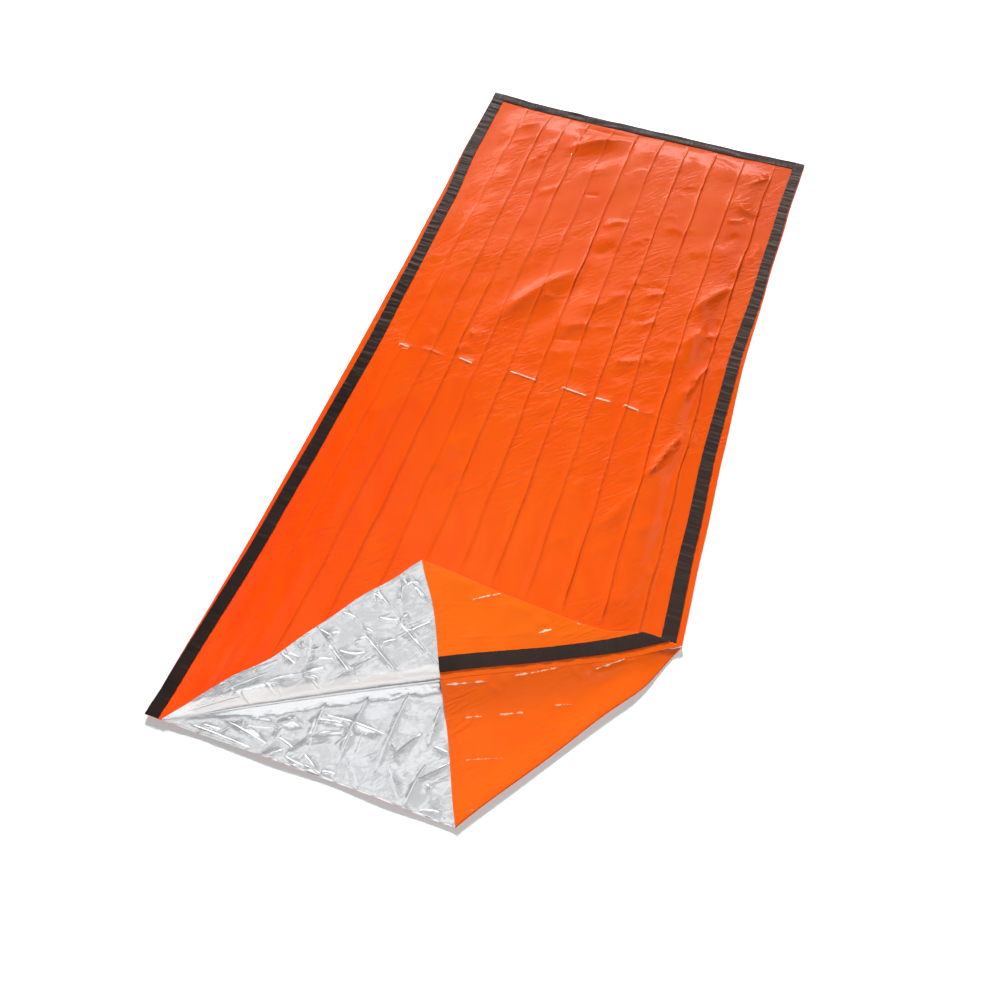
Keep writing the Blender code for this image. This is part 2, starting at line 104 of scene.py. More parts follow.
# The mouth's corner is turned back over the hinge, and its tip is folded over again at the corner fold.
folds = {
    "hingeStart": (-0.416, -1.0),
    "apex": (0.4425, -0.540),
    # along the hinge, lip, spacing, reach, tip share
    "hinge": (
        (0.000, 0.0000, 0.0030, 0.003, 0.50),
        (0.150, 0.0052, 0.0068, 0.010, 0.35),
        (0.330, 0.0058, 0.0088, 0.017, 0.25),
        (0.520, 0.0058, 0.0092, 0.019, 0.25),
        (0.760, 0.0032, 0.0080, 0.012, 0.35),
        (0.920, 0.0005, 0.0060, 0.004, 0.50),
        (0.975, 0.0000, 0.0060, 0.004, 0.50),
    ),
    # along the hinge, above it, half width, shift along, shift above
    "drift": (
        (0.514, -0.275, 0.160, -0.0205, 0.0060),
        (0.510, 0.000, 0.120, -0.0090, -0.0030),
        (0.700, 0.000, 0.110, 0.0000, -0.0085),
        (0.830, 0.000, 0.090, 0.0000, -0.0080),
        (0.880, -0.065, 0.070, 0.0060, -0.0060),
    ),
    "flapDrift": (
        (0.200, 0.090, 0.065, 0.0000, -0.0125),
        (0.390, 0.190, 0.060, 0.0000, 0.0100),
        (0.514, 0.275, 0.080, -0.0120, 0.0080),
        (0.620, 0.180, 0.090, 0.0000, -0.0110),
        (0.770, 0.095, 0.150, 0.0000, -0.0250),
    ),
    "flapDriftStart": 0.030,
    "flapDriftEase": 0.055,
    "flapSettle": 0.12,
    "flapSpacing": 0.0055,
    "flapEase": 0.060,
    "lipEase": 0.070,
    "lipReach": 0.0055,
    "bandRise": 0.0028,
    "bandReach": 0.027,
    "bandFade": 0.060,
    "bandStart": 0.20,
    "tipSpacing": 0.003,
    "tipReach": 0.003,
    "cornerSpacing": 0.0035,
    "cornerReach": 0.003,
    "seamFall": 0.070,
    "seamStart": 0.060,
    # along the hinge, how high the bottom film stands up to the lip
    "rise": ((0.000, 0.0000), (0.060, 0.0030), (0.180, 0.0062), (0.505, 0.0066), (0.560, 0.0000)),
    "riseBefore": 0.024,
    "riseBehind": 0.040,
    "riseSharp": 1.7,
    # where the grid is cut beside the hinge and beside the corner fold
    "hingeCuts": (-0.016, -0.010, -0.0055, -0.0028, -0.0012, -0.0004, 0.0, 0.0004, 0.0012, 0.0028, 0.0055),
    "cornerCuts": (-0.003, -0.0015, -0.0006, 0.0, 0.0006, 0.0015, 0.003),
}

hingeStart = np.array(folds["hingeStart"])
apex = np.array(folds["apex"])
hingeWay = (apex - hingeStart) / np.linalg.norm(apex - hingeStart)
hingeUp = np.array((-hingeWay[1], hingeWay[0]))
cornerWay = np.array((0.0, -1.0)) - hingeWay
cornerWay = cornerWay / np.linalg.norm(cornerWay)
cornerOut = np.array((-cornerWay[1], cornerWay[0]))


def clamp(share):
    return np.clip(share, 0.0, 1.0)


def ease(share):
    share = clamp(share)
    return share * share * (3.0 - 2.0 * share)


def easeFrom(value, start, reach):
    return ease((value - start) / reach)


def atLeast(low, share):  # a share that runs from the lowest to 1, not from 0
    return low + (1.0 - low) * share


def read(rows, column, at):  # a table's column, eased from row to row
    value = np.full(np.shape(at), float(rows[0][column]))
    for low, high in zip(rows, rows[1:]):
        value += (high[column] - low[column]) * easeFrom(at, low[0], high[0] - low[0])
    return value


def bend(share):  # a quarter of a round bend
    return np.sqrt(1.0 - (1.0 - np.minimum(1.0, np.abs(share))) ** 2)


def mirrored(places, onLine, normal, wanted):
    turned = places - 2.0 * ((places - onLine) @ normal)[:, None] * normal
    return np.where(wanted[:, None], turned, places)


def alongHinge(places):
    return (places - hingeStart) @ hingeWay


def aboveHinge(places):
    return (places - hingeStart) @ hingeUp


def byHinge(places):
    return np.column_stack((alongHinge(places), aboveHinge(places)))


def pastCorner(places):
    return (places - apex) @ cornerOut


# The creases that the packing leaves along the bag. Each has its place across, height, lean and sideways waver.
creases = {
    "rows": (
        (0.000, 0.0000, 0.000, 0.0000),
        (0.100, 0.0013, 0.012, 0.0012),
        (0.172, 0.0016, 0.009, 0.0010),
        (0.229, 0.0019, 0.007, 0.0012),
        (0.292, 0.0015, 0.001, 0.0015),
        (0.362, 0.0015, 0.003, 0.0012),
        (0.434, 0.0020, 0.002, 0.0012),
        (0.505, 0.0017, 0.002, 0.0010),
        (0.578, 0.0018, 0.003, 0.0010),
        (0.656, 0.0020, 0.003, 0.0012),
        (0.735, 0.0021, 0.005, 0.0012),
        (0.815, 0.0018, 0.008, 0.0016),
        (0.900, 0.0000, 0.000, 0.0000),
    ),
    # to the right of the crease, share of its height
    "profile": ((-0.0056, 0.00), (-0.0006, 1.00), (0.0036, -0.55), (0.0380, 0.00)),
    # each wave's share of the sideways waver, and its radians for each metre along and across
    "waves": ((1.0, 19.4773, 40.0), (0.6, 44.79779, 90.0)),
    # level and swing of a crease's strength, and the radians of its two waves for each metre along and across
    "strength": (0.85, 0.30, (7.0, 31.0), (3.1, -17.0)),
    "crossAlong": 0.985,
    "crossDrop": 0.004,
    "crossHeight": 0.0003,
    "crossHalfWidth": 0.0060,
    "crossSharp": 1.4,
    "fade": 0.014,
    "onFlap": 0.22,
    # the grid follows a crease from the first distance off it, and fully once nearer by the second
    "pull": (0.016, 0.006),
    "crossPull": (0.030, 0.020),
}
innerCreases = creases["rows"][1:-1]


def outline(across, along):
    left = -bag["width"] / 2 + read(bag["sides"], 1, along)
    right = bag["width"] / 2 - read(bag["sides"], 2, along)
    lean = read(creases["rows"], 2, across) * (along - bag["length"] / 2)
    footIn = read(bag["foot"], 1, across) * easeFrom(along, bag["footFrom"], bag["footReach"])
    x = left + (right - left) * across / bag["width"] + lean
    return np.stack((x, along - bag["length"] / 2 - footIn), axis=1)


# Wrinkles are listed one by one, in millimetres. Each has its two ends, how far its middle bows to the left of
# the straight line between them, its half width and its rise. A trough's rise is below 0.
wrinkleRows = {
    # broad soft ones that fill the body, in x and y
    "puckers": (
        (-10, 945, -200, 785, 0, 26, 5), (30, 905, -170, 735, 0, 24, -3), (-15, 380, -220, 60, 0, 26, 4.5),
        (20, 340, -150, 20, 0, 28, -3), (50, 560, -10, 440, 0, 30, 3.5), (60, 280, -20, 160, 0, 28, 3.5),
        (360, 480, 270, 300, 0, 22, 3.5), (345, 300, 250, 120, 0, 22, 4), (340, -20, 270, -210, 0, 18, 2.5),
        (270, -230, 200, -370, 0, 24, 3), (335, 800, 250, 700, 0, 24, 3.5), (210, 910, 290, 840, 0, 24, 3),
    ),
    # on the body, in x and y
    "body": (
        # at the foot, left of the middle
        (10, 928, -200, 788, -8, 10, 2.8), (-270, 922, -337, 845, 10, 9, 1.6),
        (-210, 852, -272, 690, 6, 11, 1.9), (-262, 838, -335, 775, 4, 11, 1.1), (-335, 938, -180, 940, 2, 6, 1),
        (-180, 938, 0, 946, -2, 6, 1.3), (-190, 918, -20, 925, 0, 12, -1.6), (-155, 652, -212, 600, 6, 7, 1.1),
        (-298, 647, -336, 612, 0, 7, 0.9), (-40, 655, -95, 642, 3, 6, -0.9), (-55, 640, -80, 625, 0, 5, 0.7),
        (-110, 915, -180, 850, 4, 14, 1.2), (-55, 765, -125, 720, 3, 8, 0.8),
        (-300, 560, -330, 510, 4, 10, 0.9), (-235, 725, -262, 745, 0, 6, -0.7),
        # at the foot, right of the middle
        (172, 942, 282, 880, 4, 10, 2.2), (298, 884, 366, 910, -3, 5, 1.4), (318, 836, 374, 906, 4, 6, 2),
        (298, 756, 372, 744, -12, 11, 2.2), (284, 672, 342, 698, 3, 6, 1.6), (332, 648, 290, 560, -6, 13, -2.2),
        (145, 757, 216, 790, 3, 6, 1.2), (124, 718, 176, 738, 2, 5, 1), (130, 634, 176, 640, 2, 5, 0.8),
        (138, 585, 208, 583, 10, 14, 1.4), (140, 890, 178, 878, 3, 6, 1), (232, 606, 268, 622, 2, 5, 0.8),
        (198, 604, 214, 612, 1, 4, 0.9), (300, 712, 365, 720, 4, 9, -1.4), (45, 800, 10, 772, 3, 9, 0.9),
        (60, 890, 15, 865, 3, 10, 1), (385, 952, 378, 880, 2, 6, -1.4), (372, 640, 402, 590, 2, 6, 1),
        (388, 622, 370, 560, 2, 6, 1.2),
        # between the foot and the middle, left
        (-22, 366, -158, 128, -16, 11, 3), (-85, 240, -55, 256, 1, 5, 1), (-218, 60, -165, 86, -2, 6, 1.7),
        (-285, 80, -245, 81, 1, 4, 0.8), (-402, 280, -350, 289, 1, 4, 0.9), (-206, 402, -165, 422, 0, 4, 0.7),
        (-205, 384, -170, 400, 0, 4, 0.6), (-206, 360, -168, 378, 0, 4, 0.7), (-210, 438, -168, 452, 0, 4, 0.5),
        (-140, 420, -95, 438, 0, 4, 0.6), (-150, 395, -95, 418, 0, 5, 0.6), (-265, 512, -222, 528, 0, 4, 0.5),
        (-270, 488, -225, 505, 0, 5, 0.5), (-15, 152, 62, 198, 6, 10, 2.4), (-18, 120, 50, 140, 3, 6, -1.2),
        (-20, 80, 40, 92, 2, 6, 1), (-6, 270, -4, 400, 0, 7, -1.8), (-70, 58, -20, 66, 2, 5, 0.7),
        (-345, 158, -372, 140, 2, 6, 0.6),
        # between the foot and the middle, right
        (358, 578, 334, 478, 6, 10, 2.2), (364, 464, 272, 318, -8, 10, 3.4), (346, 332, 318, 262, -4, 11, -2.2),
        (318, 282, 270, 196, -4, 10, 2.6), (396, 288, 308, 250, -8, 4, 1.5), (366, 242, 338, 220, -2, 4, 1.3),
        (354, 192, 308, 26, -6, 6, 2.6), (150, 328, 206, 360, 3, 6, 1.6), (98, 362, 136, 382, 1, 5, 1),
        (138, 360, 196, 380, 2, 6, -1.2), (164, 232, 206, 263, 3, 6, 1.6), (134, 245, 186, 260, 2, 6, -1.2),
        (130, 102, 226, 147, -3, 5, 2), (172, 100, 154, 48, 2, 10, -1.4), (106, 332, 34, 245, 6, 12, 1.6),
        (84, 514, 126, 544, 2, 6, 1), (70, 505, 118, 522, 2, 5, 0.7), (214, 498, 266, 514, 1, 5, -0.8),
        (214, 528, 262, 538, 1, 5, 0.7), (140, 412, 160, 428, 1, 4, 0.9), (-2, 522, 56, 574, 16, 9, 2.6),
        (34, 486, 0, 424, 4, 10, -1.8), (58, 192, 125, 205, 4, 6, 1), (215, 196, 270, 215, 3, 8, 1),
        (230, 130, 270, 160, 2, 8, 1), (20, 40, 95, 60, 4, 8, 1), (60, 295, 125, 330, 3, 8, 1),
        (395, 395, 372, 330, 2, 6, 1.2), (392, 240, 366, 165, 2, 6, 1.2),
        # between the middle and the mouth
        (-228, 0, -188, 32, 3, 5, 1.2), (-300, -14, -240, -20, 2, 4, 1), (-150, -242, -98, -268, 2, 12, 1),
        (-290, 52, -286, 0, 2, 5, 0.8), (-200, 10, -165, 0, 0, 12, -1.2), (343, -22, 284, -192, -4, 4.5, 2.8),
        (312, -36, 284, -152, 4, 10, -0.8), (352, -96, 318, -184, 4, 12, -0.8),
        (272, -218, 220, -344, 6, 10, 1.3), (212, -334, 252, -252, 2, 6, -1),
        (342, -278, 284, -332, 4, 12, 1.2), (160, -143, 184, -116, 2, 3.5, 0.9),
        (152, -165, 190, -137, 2, 3.5, 1.2), (153, -186, 195, -156, 2, 3.5, 1.2),
        (157, -201, 198, -193, 2, 3.5, 1), (-12, -101, 14, -107, 1, 4, 1), (-139, -240, -110, -230, 1, 4, 0.8),
        (-332, -340, -294, -331, 1, 4, -0.9), (272, -196, 304, -145, 2, 3.5, 1.2),
        (131, -408, 171, -386, 1, 5, 0.8), (141, -245, 141, -298, 3, 6, 0.8), (238, -24, 264, -8, 2, 6, 1),
        (360, -60, 352, -20, 1, 5, 1), (45, -60, 0, -98, 3, 10, 1), (20, -40, -30, -70, 3, 9, 0.8),
        (300, -470, 270, -520, 3, 10, 0.8), (330, -400, 360, -415, 2, 5, 0.8),
        (-300, -200, -345, -225, 2, 9, 0.8), (-205, -80, -172, -60, 2, 7, 0.6),
        (61, -106, 118, -106, 3, 6, 0.9), (-140, -120, -100, -100, 2, 7, 0.6),
        (-156, -327, -142, -296, 2, 8, 0.9), (-104, -332, -86, -272, 2, 9, 0.8),
        (232, -400, 258, -370, 1, 6, 0.6),
    ),
    # along the crease across the middle, each a short step that faces the mouth
    "dashes": (
        (-354, -14, -320, -21, 0, 4, 2), (-208, -11, -166, -18, 0, 4.5, 2.2), (-88, -8, -12, -14, 0, 5, 2.5),
        (38, -11, 108, -17, 0, 5, 2.5), (120, -14, 162, -13, 0, 3.6, 1.8), (186, -10, 228, -16, 0, 4.5, 2.2),
    ),
    # short steps that shine, on the flap's outer side, along the hinge and above it
    "flapGlints": (
        (582, 149, 662, 156, 1, 6, 1.4), (698, 60, 732, 66, 1, 4.5, 1.08), (776, 72, 808, 60, 1, 4.5, 0.92),
    ),
    # and on the bottom panel's folded corner
    "cornerGlints": (
        (504, -13, 602, -18, -1, 5.5, 0.78), (634, -15, 735, -10, -1, 4.5, 0.77),
        (790, -24, 866, -9, -1, 5.5, 1.2), (536, -77, 574, -80, 0, 3.6, 0.42),
        (598, -81, 652, -84, 0, 3.6, 0.49), (703, -78, 742, -82, 0, 3.6, 0.56),
        (522, -154, 602, -162, 0, 3.6, 0.33), (512, -243, 532, -245, 0, 3.6, 0.2),
    ),
    # on the turned-back flap, along the hinge and above it
    "flap": (
        (40, 16, 262, 50, 2, 5, 2.2), (250, 48, 300, 51, 1, 3.5, 1.2), (30, 7, 150, 22, 1, 4, 1.2),
        (100, 50, 215, 82, 0, 16, 2), (303, 102, 342, 30, 0, 3.5, 1.4), (310, 102, 349, 32, 0, 3, -1),
        (373, 112, 425, 24, -2, 3, 1.6), (436, 136, 492, 45, -3, 3.2, 1.6), (300, 18, 402, 66, 3, 3.6, 1.5),
        (390, 78, 434, 89, 2, 4, 1.6), (352, 94, 384, 102, 2, 3.5, 1), (372, 124, 392, 110, 0, 3, 1.1),
        (428, 94, 508, 119, -2, 3.5, 1.5), (318, 88, 378, 72, -8, 5, 1.8), (276, 118, 264, 58, 2, 4, -1.4),
        (216, 94, 244, 66, 0, 4, 1.4), (228, 94, 252, 78, 1, 4, -1), (250, 100, 262, 112, 0, 5, 1.4),
        (402, 142, 444, 128, -3, 4, 1.6), (440, 128, 462, 138, 0, 3.6, 1.2), (408, 200, 428, 162, -3, 3.6, 1.4),
        (400, 202, 404, 172, 0, 3, -1), (456, 202, 444, 158, 2, 3.6, 1.3), (476, 204, 498, 160, -2, 4, 1.6),
        (486, 206, 506, 168, -2, 3.4, -1), (456, 228, 466, 204, 0, 3.5, -1.2),
        (452, 198, 496, 202, 4, 3.6, 1.2), (248, 50, 288, 31, 0, 3.5, 1.2), (290, 132, 318, 104, 2, 5, 1.4),
        (300, 116, 332, 118, 2, 4, 1.2), (262, 92, 300, 96, -2, 4, 1), (276, 72, 318, 64, 2, 4, 0.9),
        (336, 160, 362, 146, 1, 5, 1), (200, 36, 216, 10, 0, 2.2, -0.7), (140, 32, 156, 4, 0, 2.2, -0.7),
        (268, 34, 282, 14, 0, 2.2, 0.7), (60, 22, 200, 60, 1, 5, -0.8),
        # its outer side, where its tip is folded over again
        (528, 212, 600, 176, 0, 14, 1.6), (640, 140, 702, 98, 0, 14, 1.4), (700, 100, 730, 52, 2, 9, 1.4),
        (728, 108, 738, 52, -2, 6, -1), (640, 65, 700, 62, 2, 5, 0.8), (560, 68, 612, 72, 1, 5, 0.7),
        (617, 140, 624, 30, 0, 4.5, -0.8),
    ),
    # on the bottom panel in the open mouth, along the hinge and above it
    "mouth": (
        (104, -12, 186, -76, 2, 4.5, 2.2), (40, -10, 166, -84, 2, 3.5, 1.4), (60, -30, 176, -92, 0, 3, 1),
        (164, -93, 212, -86, -2, 3.5, 1.6), (212, -96, 262, -68, -2, 3.5, 1.8), (256, -70, 322, -67, 3, 4, 1.4),
        (292, -8, 254, -98, -4, 3.8, 1.8), (371, -6, 298, -136, -3, 4, 2.2), (447, -8, 362, -162, -3, 3.8, 1.8),
        (500, -45, 464, -122, -2, 3.6, 1.5), (460, -148, 408, -224, -4, 3.6, 1.8),
        (282, -30, 404, -94, 4, 3.8, 1.7), (196, -36, 244, -36, 2, 3.5, 1.3), (222, -24, 250, -50, 0, 4, 1.4),
        (256, -37, 332, -60, 4, 4.5, 1.5), (194, -64, 212, -42, 0, 3.4, 1.1),
        (246, -100, 266, -136, 1, 3.2, 1.6), (212, -98, 246, -122, -2, 3.4, 1.4),
        (244, -120, 276, -146, 2, 3.4, 1.2), (270, -136, 300, -146, 2, 3.4, 1.2),
        (322, -122, 336, -178, 1, 2.6, -0.9), (396, -130, 462, -92, 2, 6, 1.5),
        (472, -118, 508, -142, 0, 4, 1.4), (394, -142, 408, -206, -3, 3.4, 1.3),
        (436, -176, 504, -154, 0, 5, 1.5), (470, -208, 478, -252, 1, 2.6, -0.8), (144, -18, 138, -36, 0, 3, 1),
        (148, -32, 202, -46, 1, 6, -1.2), (70, -18, 104, -34, 1, 3.5, 1), (168, -18, 200, -28, 2, 4, 0.9),
        (410, -120, 400, -100, 0, 3.5, 1), (300, -90, 330, -76, 2, 4, -0.9), (430, -230, 476, -242, 3, 4.5, 1),
        (452, -185, 462, -196, 0, 4, 1.2), (200, -60, 230, -90, 2, 4, 0.9), (335, -110, 360, -70, 3, 7, -0.7),
    ),
    # on the bottom panel's folded corner, whose outer side shows
    "corner": (
        (506, -2, 530, -12, 0, 3.5, 1.2), (588, -24, 614, -44, 1, 3.4, 1.3), (620, -6, 620, -30, 0, 3.4, 1.5),
        (746, -6, 768, -42, 1, 3.6, 1.2), (860, -18, 900, -6, 0, 3.4, 1.2), (640, -90, 720, -130, 3, 10, 0.9),
        (560, -110, 640, -140, 3, 12, 0.8),
    ),
}
wrinkles = {
    name: [tuple(value / 1000.0 for value in row) for row in group]
    for name, group in wrinkleRows.items()
}

# The shapes that rise along the wrinkles' lines, with the share of a line over which each end fades.
shapes = {
    "ridgeEnds": 0.3,
    "stepEnds": 0.15,
    "stepFall": 3.0,
    "tentEnds": 0.4,
    # how far beside a line, and how near its ends, the finishes still know of it
    "lineEnds": 0.12,
    "lineReach": 0.009,
    "lineFade": 0.004,
    "lineFar": 0.02,
    "fullRise": 0.0010,
    "lowestShare": 0.72,
    "nearHalfWidths": 1.3,
}


def alongRow(row, places):  # how far along a wrinkle's line each place is, as a share, and how far to its left
    start = np.array(row[:2])
    run = np.array(row[2:4]) - start
    length = np.linalg.norm(run)
    way = run / length
    share = (places - start) @ way / length
    return share, (places - start) @ np.array((-way[1], way[0])) - row[4] * 4.0 * share * (1.0 - share)


def raised(rows, places, shape):
    height = np.zeros(len(places))
    for row in rows:
        share, off = alongRow(row, places)
        height += row[6] * shape(share, off / row[5])
    return height


def ends(share, reach, fade=ease):
    return fade(share / reach) * fade((1.0 - share) / reach)


def ridges(rows, places, crest):
    def shape(share, off):
        return ends(share, shapes["ridgeEnds"]) * np.exp(-np.abs(off) ** crest)

    return raised(rows, places, shape)


def tents(rows, places, breadth):  # flat planes that meet along each line
    def shape(share, off):
        return ends(share, shapes["tentEnds"], clamp) * clamp(1.0 - np.abs(off) / breadth)

    return raised(rows, places, shape)


def steps(rows, places):  # a small plane on the right of each line, and an easy fall on its left
    def shape(share, off):
        fall = ease(1.0 - off / shapes["stepFall"])
        return ends(share, shapes["stepEnds"]) * np.where(off < 0.0, clamp(1.0 + off), fall)

    return raised(rows, places, shape)


def softPuckers(places):
    def shape(share, off):
        return np.sin(math.pi * clamp(share)) * np.exp(-off * off)

    return raised(wrinkles["puckers"], places, shape)


def wrinkled(rows, places, rise, crest, planeRise, breadth):
    return rise * ridges(rows, places, crest) + planeRise * tents(rows, places, breadth)


def stepped(height, rows, places, edge):  # steps take the place of what lies under them
    above = steps(rows, places)
    return height * (1.0 - ease(above / edge)) + above


def besideRows(rows, places):  # how far off the nearest line each place is, and how near, from 0 to 1
    beside, near = np.full(len(places), shapes["lineFar"]), np.zeros(len(places))
    for row in rows:
        share, off = alongRow(row, places)
        strong = atLeast(shapes["lowestShare"], min(1.0, abs(row[6]) / shapes["fullRise"]))
        inside = clamp(np.minimum(share, 1.0 - share) / shapes["lineEnds"])
        inside *= clamp((shapes["lineReach"] - np.abs(off)) / shapes["lineFade"]) * strong
        beside = np.where(inside > near, off, beside)
        near = np.maximum(near, inside)
    return beside, near


def nearRows(rows, places, margin):
    near = np.zeros(len(places), bool)
    for row in rows:
        start = np.array(row[:2])
        run = np.array(row[2:4]) - start
        share = clamp((places - start) @ run / (run @ run))
        off = np.linalg.norm(places - start - share[:, None] * run, axis=1)
        near |= off < margin + shapes["nearHalfWidths"] * row[5] + abs(row[4])
    return near


def ripple(places, scale, stretch, turn, seed):  # low film ripples, longer one way than the other
    cosine, sine = math.cos(turn), math.sin(turn)
    return np.array([
        noise.noise(((x * cosine + y * sine) * scale / stretch, (y * cosine - x * sine) * scale, seed))
        for x, y in places
    ])


# Small sharp folds that meet in points are made of two ripples.
crumpled = {
    "stretch": 1.4,
    "finer": 2.1,
    "turned": 0.8,
    "seedStep": 4.0,
    "fineShare": 0.5,
    "level": 0.25,
}


def crumple(places, scale, turn, seed):
    broad = ripple(places, scale, crumpled["stretch"], turn, seed)
    turn, seed = turn + crumpled["turned"], seed + crumpled["seedStep"]
    fine = ripple(places, scale * crumpled["finer"], 1.0, turn, seed)
    return np.abs(broad) + crumpled["fineShare"] * np.abs(fine) - crumpled["level"]


# The film stands up a little along the mouth's edge and along the corner fold, more in some places than others.
lift = {
    "mouth": 0.0060,
    "corner": 0.0055,
    "reach": 0.055,
    "cornerEnd": 0.93,
    "cornerFade": 0.10,
    "uneven": (0.90, 0.20),  # level and swing
    # radians for each metre, and the phase
    "wavesAcross": (27.9, 1.0),
    "wavesAlong": (11.0, 0.4),
}


def edgeLift(lies):
    across, along = (
        np.sin(lies[:, side] * rate + phase)
        for side, (rate, phase) in enumerate((lift["wavesAcross"], lift["wavesAlong"]))
    )
    level, swing = lift["uneven"]
    fromMouth = lift["mouth"] * (1.0 - ease((lies[:, 1] + bag["length"] / 2) / lift["reach"]))
    fromCorner = lift["corner"] * (1.0 - ease(np.abs(pastCorner(lies)) / lift["reach"]))
    fromCorner *= ease((lift["cornerEnd"] - alongHinge(lies)) / lift["cornerFade"])
    return np.maximum(fromMouth, fromCorner) * (level + swing * across * along)


def topHeight(places):
    along = places[:, 1] + bag["length"] / 2
    across = places[:, 0] + bag["width"] / 2
    fromLeft = across - read(bag["sides"], 1, along) - bag["leftSeam"]
    fromRight = bag["width"] - read(bag["sides"], 2, along) - across - bag["rightSeam"]
    fromFoot = bag["length"] - read(bag["foot"], 1, across) - along - bag["footSeam"]
    fullness = np.ones(len(places))
    for inside in (fromLeft, fromRight, fromFoot):
        fullness *= ease(inside / bag["shoulder"])
    share = 1.0 - np.exp(-((np.maximum(0.0, aboveHinge(places)) / folds["lipEase"]) ** 2))
    lip = read(folds["hinge"], 1, alongHinge(places))
    return bag["topLevel"] + lip * (1.0 - share) + (bag["loft"] + softPuckers(places)) * fullness * share


def flapSpacing(places):
    spacing = read(folds["hinge"], 2, alongHinge(places))
    offHinge = aboveHinge(places) / folds["flapEase"]
    return folds["flapSpacing"] + (spacing - folds["flapSpacing"]) * np.exp(-offHinge * offHinge)


def bandHeight(places):  # a smooth band climbs from the hinge to the rest of the flap
    above = np.maximum(0.0, aboveHinge(places))
    band = clamp(above / folds["bandReach"])
    band *= np.exp(-((np.maximum(0.0, above - folds["bandReach"]) / folds["bandFade"]) ** 2))
    return folds["bandRise"] * band * ease(alongHinge(places) / folds["bandStart"])


def turnedShare(places):  # 0 on the body of the bag, 1 on the flap
    reach = read(folds["hinge"], 3, alongHinge(places))
    tip = read(folds["hinge"], 4, alongHinge(places))
    offHinge = aboveHinge(places)
    body = tip * (1.0 - bend(offHinge / np.minimum(reach, folds["lipReach"])))
    return np.where(offHinge > 0.0, body, tip + (1.0 - tip) * bend(offHinge / reach))


def tippedShare(places, reach):  # 0 before the corner fold, 1 past it
    off = pastCorner(places)
    return (1.0 + np.copysign(bend(off / reach), off)) / 2.0


def drift(rows, places):
    shift = np.zeros((len(places), 2))
    for along, above, halfWidth, shiftAlong, shiftAbove in rows:
        off = np.hypot(alongHinge(places) - along, aboveHinge(places) - above) / halfWidth
        shift += np.exp(-off * off)[:, None] * (hingeWay * shiftAlong + hingeUp * shiftAbove)
    return shift


def flapDrift(places):
    above = np.maximum(0.0, aboveHinge(places) - folds["flapDriftStart"])
    share = ease(above / folds["flapDriftEase"])
    return drift(folds["flapDrift"], places) * share[:, None] - above[:, None] * hingeUp * folds["flapSettle"]


def layTop(places):
    turned = turnedShare(places)
    tipped = tippedShare(places, folds["tipReach"])
    lies = mirrored(places, apex, cornerOut, pastCorner(places) > 0.0)
    lies = mirrored(lies, hingeStart, hingeUp, aboveHinge(places) < 0.0)
    onFlap = ease(2.0 * turned - 1.0)
    lies = lies + flapDrift(lies) * onFlap[:, None]
    height = topHeight(lies) + turned * flapSpacing(lies) + tipped * folds["tipSpacing"] + edgeLift(lies)
    height += bandHeight(lies) * onFlap
    return np.column_stack((lies + drift(folds["drift"], lies), height))


def seamHeight(places):
    along = alongHinge(places)
    lip = read(folds["hinge"], 1, along) + read(folds["hinge"], 2, along)
    return bag["topLevel"] + lip + folds["tipSpacing"]


def layBottom(places):
    tipped = tippedShare(places, folds["cornerReach"])
    lies = mirrored(places, apex, cornerOut, pastCorner(places) > 0.0)
    below = np.maximum(0.0, -aboveHinge(lies))
    toFold = np.abs(pastCorner(lies)) + 1e-5  # never 0, as it divides
    share = below / (below + toFold)
    rise = (1.0 - share) ** 2 * np.exp(-((below / folds["seamFall"]) ** 2))
    rise *= ease(np.linalg.norm(lies - apex, axis=1) / folds["seamStart"])
    base = folds["cornerSpacing"]
    spacing = base + (seamHeight(lies) - bag["bottomLevel"] - base) * rise
    above = aboveHinge(lies)
    before = clamp(1.0 + above / folds["riseBefore"]) ** folds["riseSharp"]
    ramp = np.where(above < 0.0, before, ease(1.0 - above / folds["riseBehind"]))
    spacing = tipped * spacing + (1.0 - tipped) * read(folds["rise"], 1, alongHinge(lies)) * ramp
    height = bag["bottomLevel"] + spacing + edgeLift(lies)
    return np.column_stack((lies + drift(folds["drift"], lies), height))


# The tapes' edges on the flat cut: across for the side tapes, along for the foot tape.
tapes = {
    "left": (0.010, 0.039),
    "right": (0.858, 0.887),
    "foot": (1.972, 2.000),
    "low": 0.0006,
    "high": 0.0014,
    "wanderEase": 0.033,
    "stepAlong": 0.003,
    "stepAcross": 0.005,
    "sideGap": 0.0003,
    # small folds across each tape: height, level, and the ripple's scale, stretch, turn and seed
    "foldRise": 0.0016,
    "foldLevel": 0.5,
    "foldRipple": (75.0, 4.0, 0.0, 2.2),
}


def wander(across, along):  # the film lies a little to one side where its tapes do
    tapeLeft, tapeRight = tapes["left"], tapes["right"]
    leftShift = read(bag["sides"], 3, along) - tapeLeft[0]
    rightShift = bag["width"] - read(bag["sides"], 4, along) - tapeRight[1]
    nearLeft = np.minimum(across / tapeLeft[0], 1.0 - (across - tapeLeft[1]) / tapes["wanderEase"])
    nearRight = np.minimum((bag["width"] - across) / (bag["width"] - tapeRight[1]),
                           1.0 - (tapeRight[0] - across) / tapes["wanderEase"])
    return leftShift * clamp(nearLeft) + rightShift * clamp(nearRight)


def crossShift(across):  # the crease across the middle slants down in each strip between two long creases
    places = [row[0] for row in creases["rows"]]
    shift = np.zeros(np.shape(across))
    for low, high in zip(places, places[1:]):
        share = (across - low) / (high - low)
        shift = np.where((share >= 0.0) & (share < 1.0), -creases["crossDrop"] * ease(share), shift)
    return shift


def waver(crease, along):  # how far a long crease strays to the side of its straight line
    waves = sum(share * np.sin(rate * along + crease[0] * slant) for share, rate, slant in creases["waves"])
    return crease[3] * waves


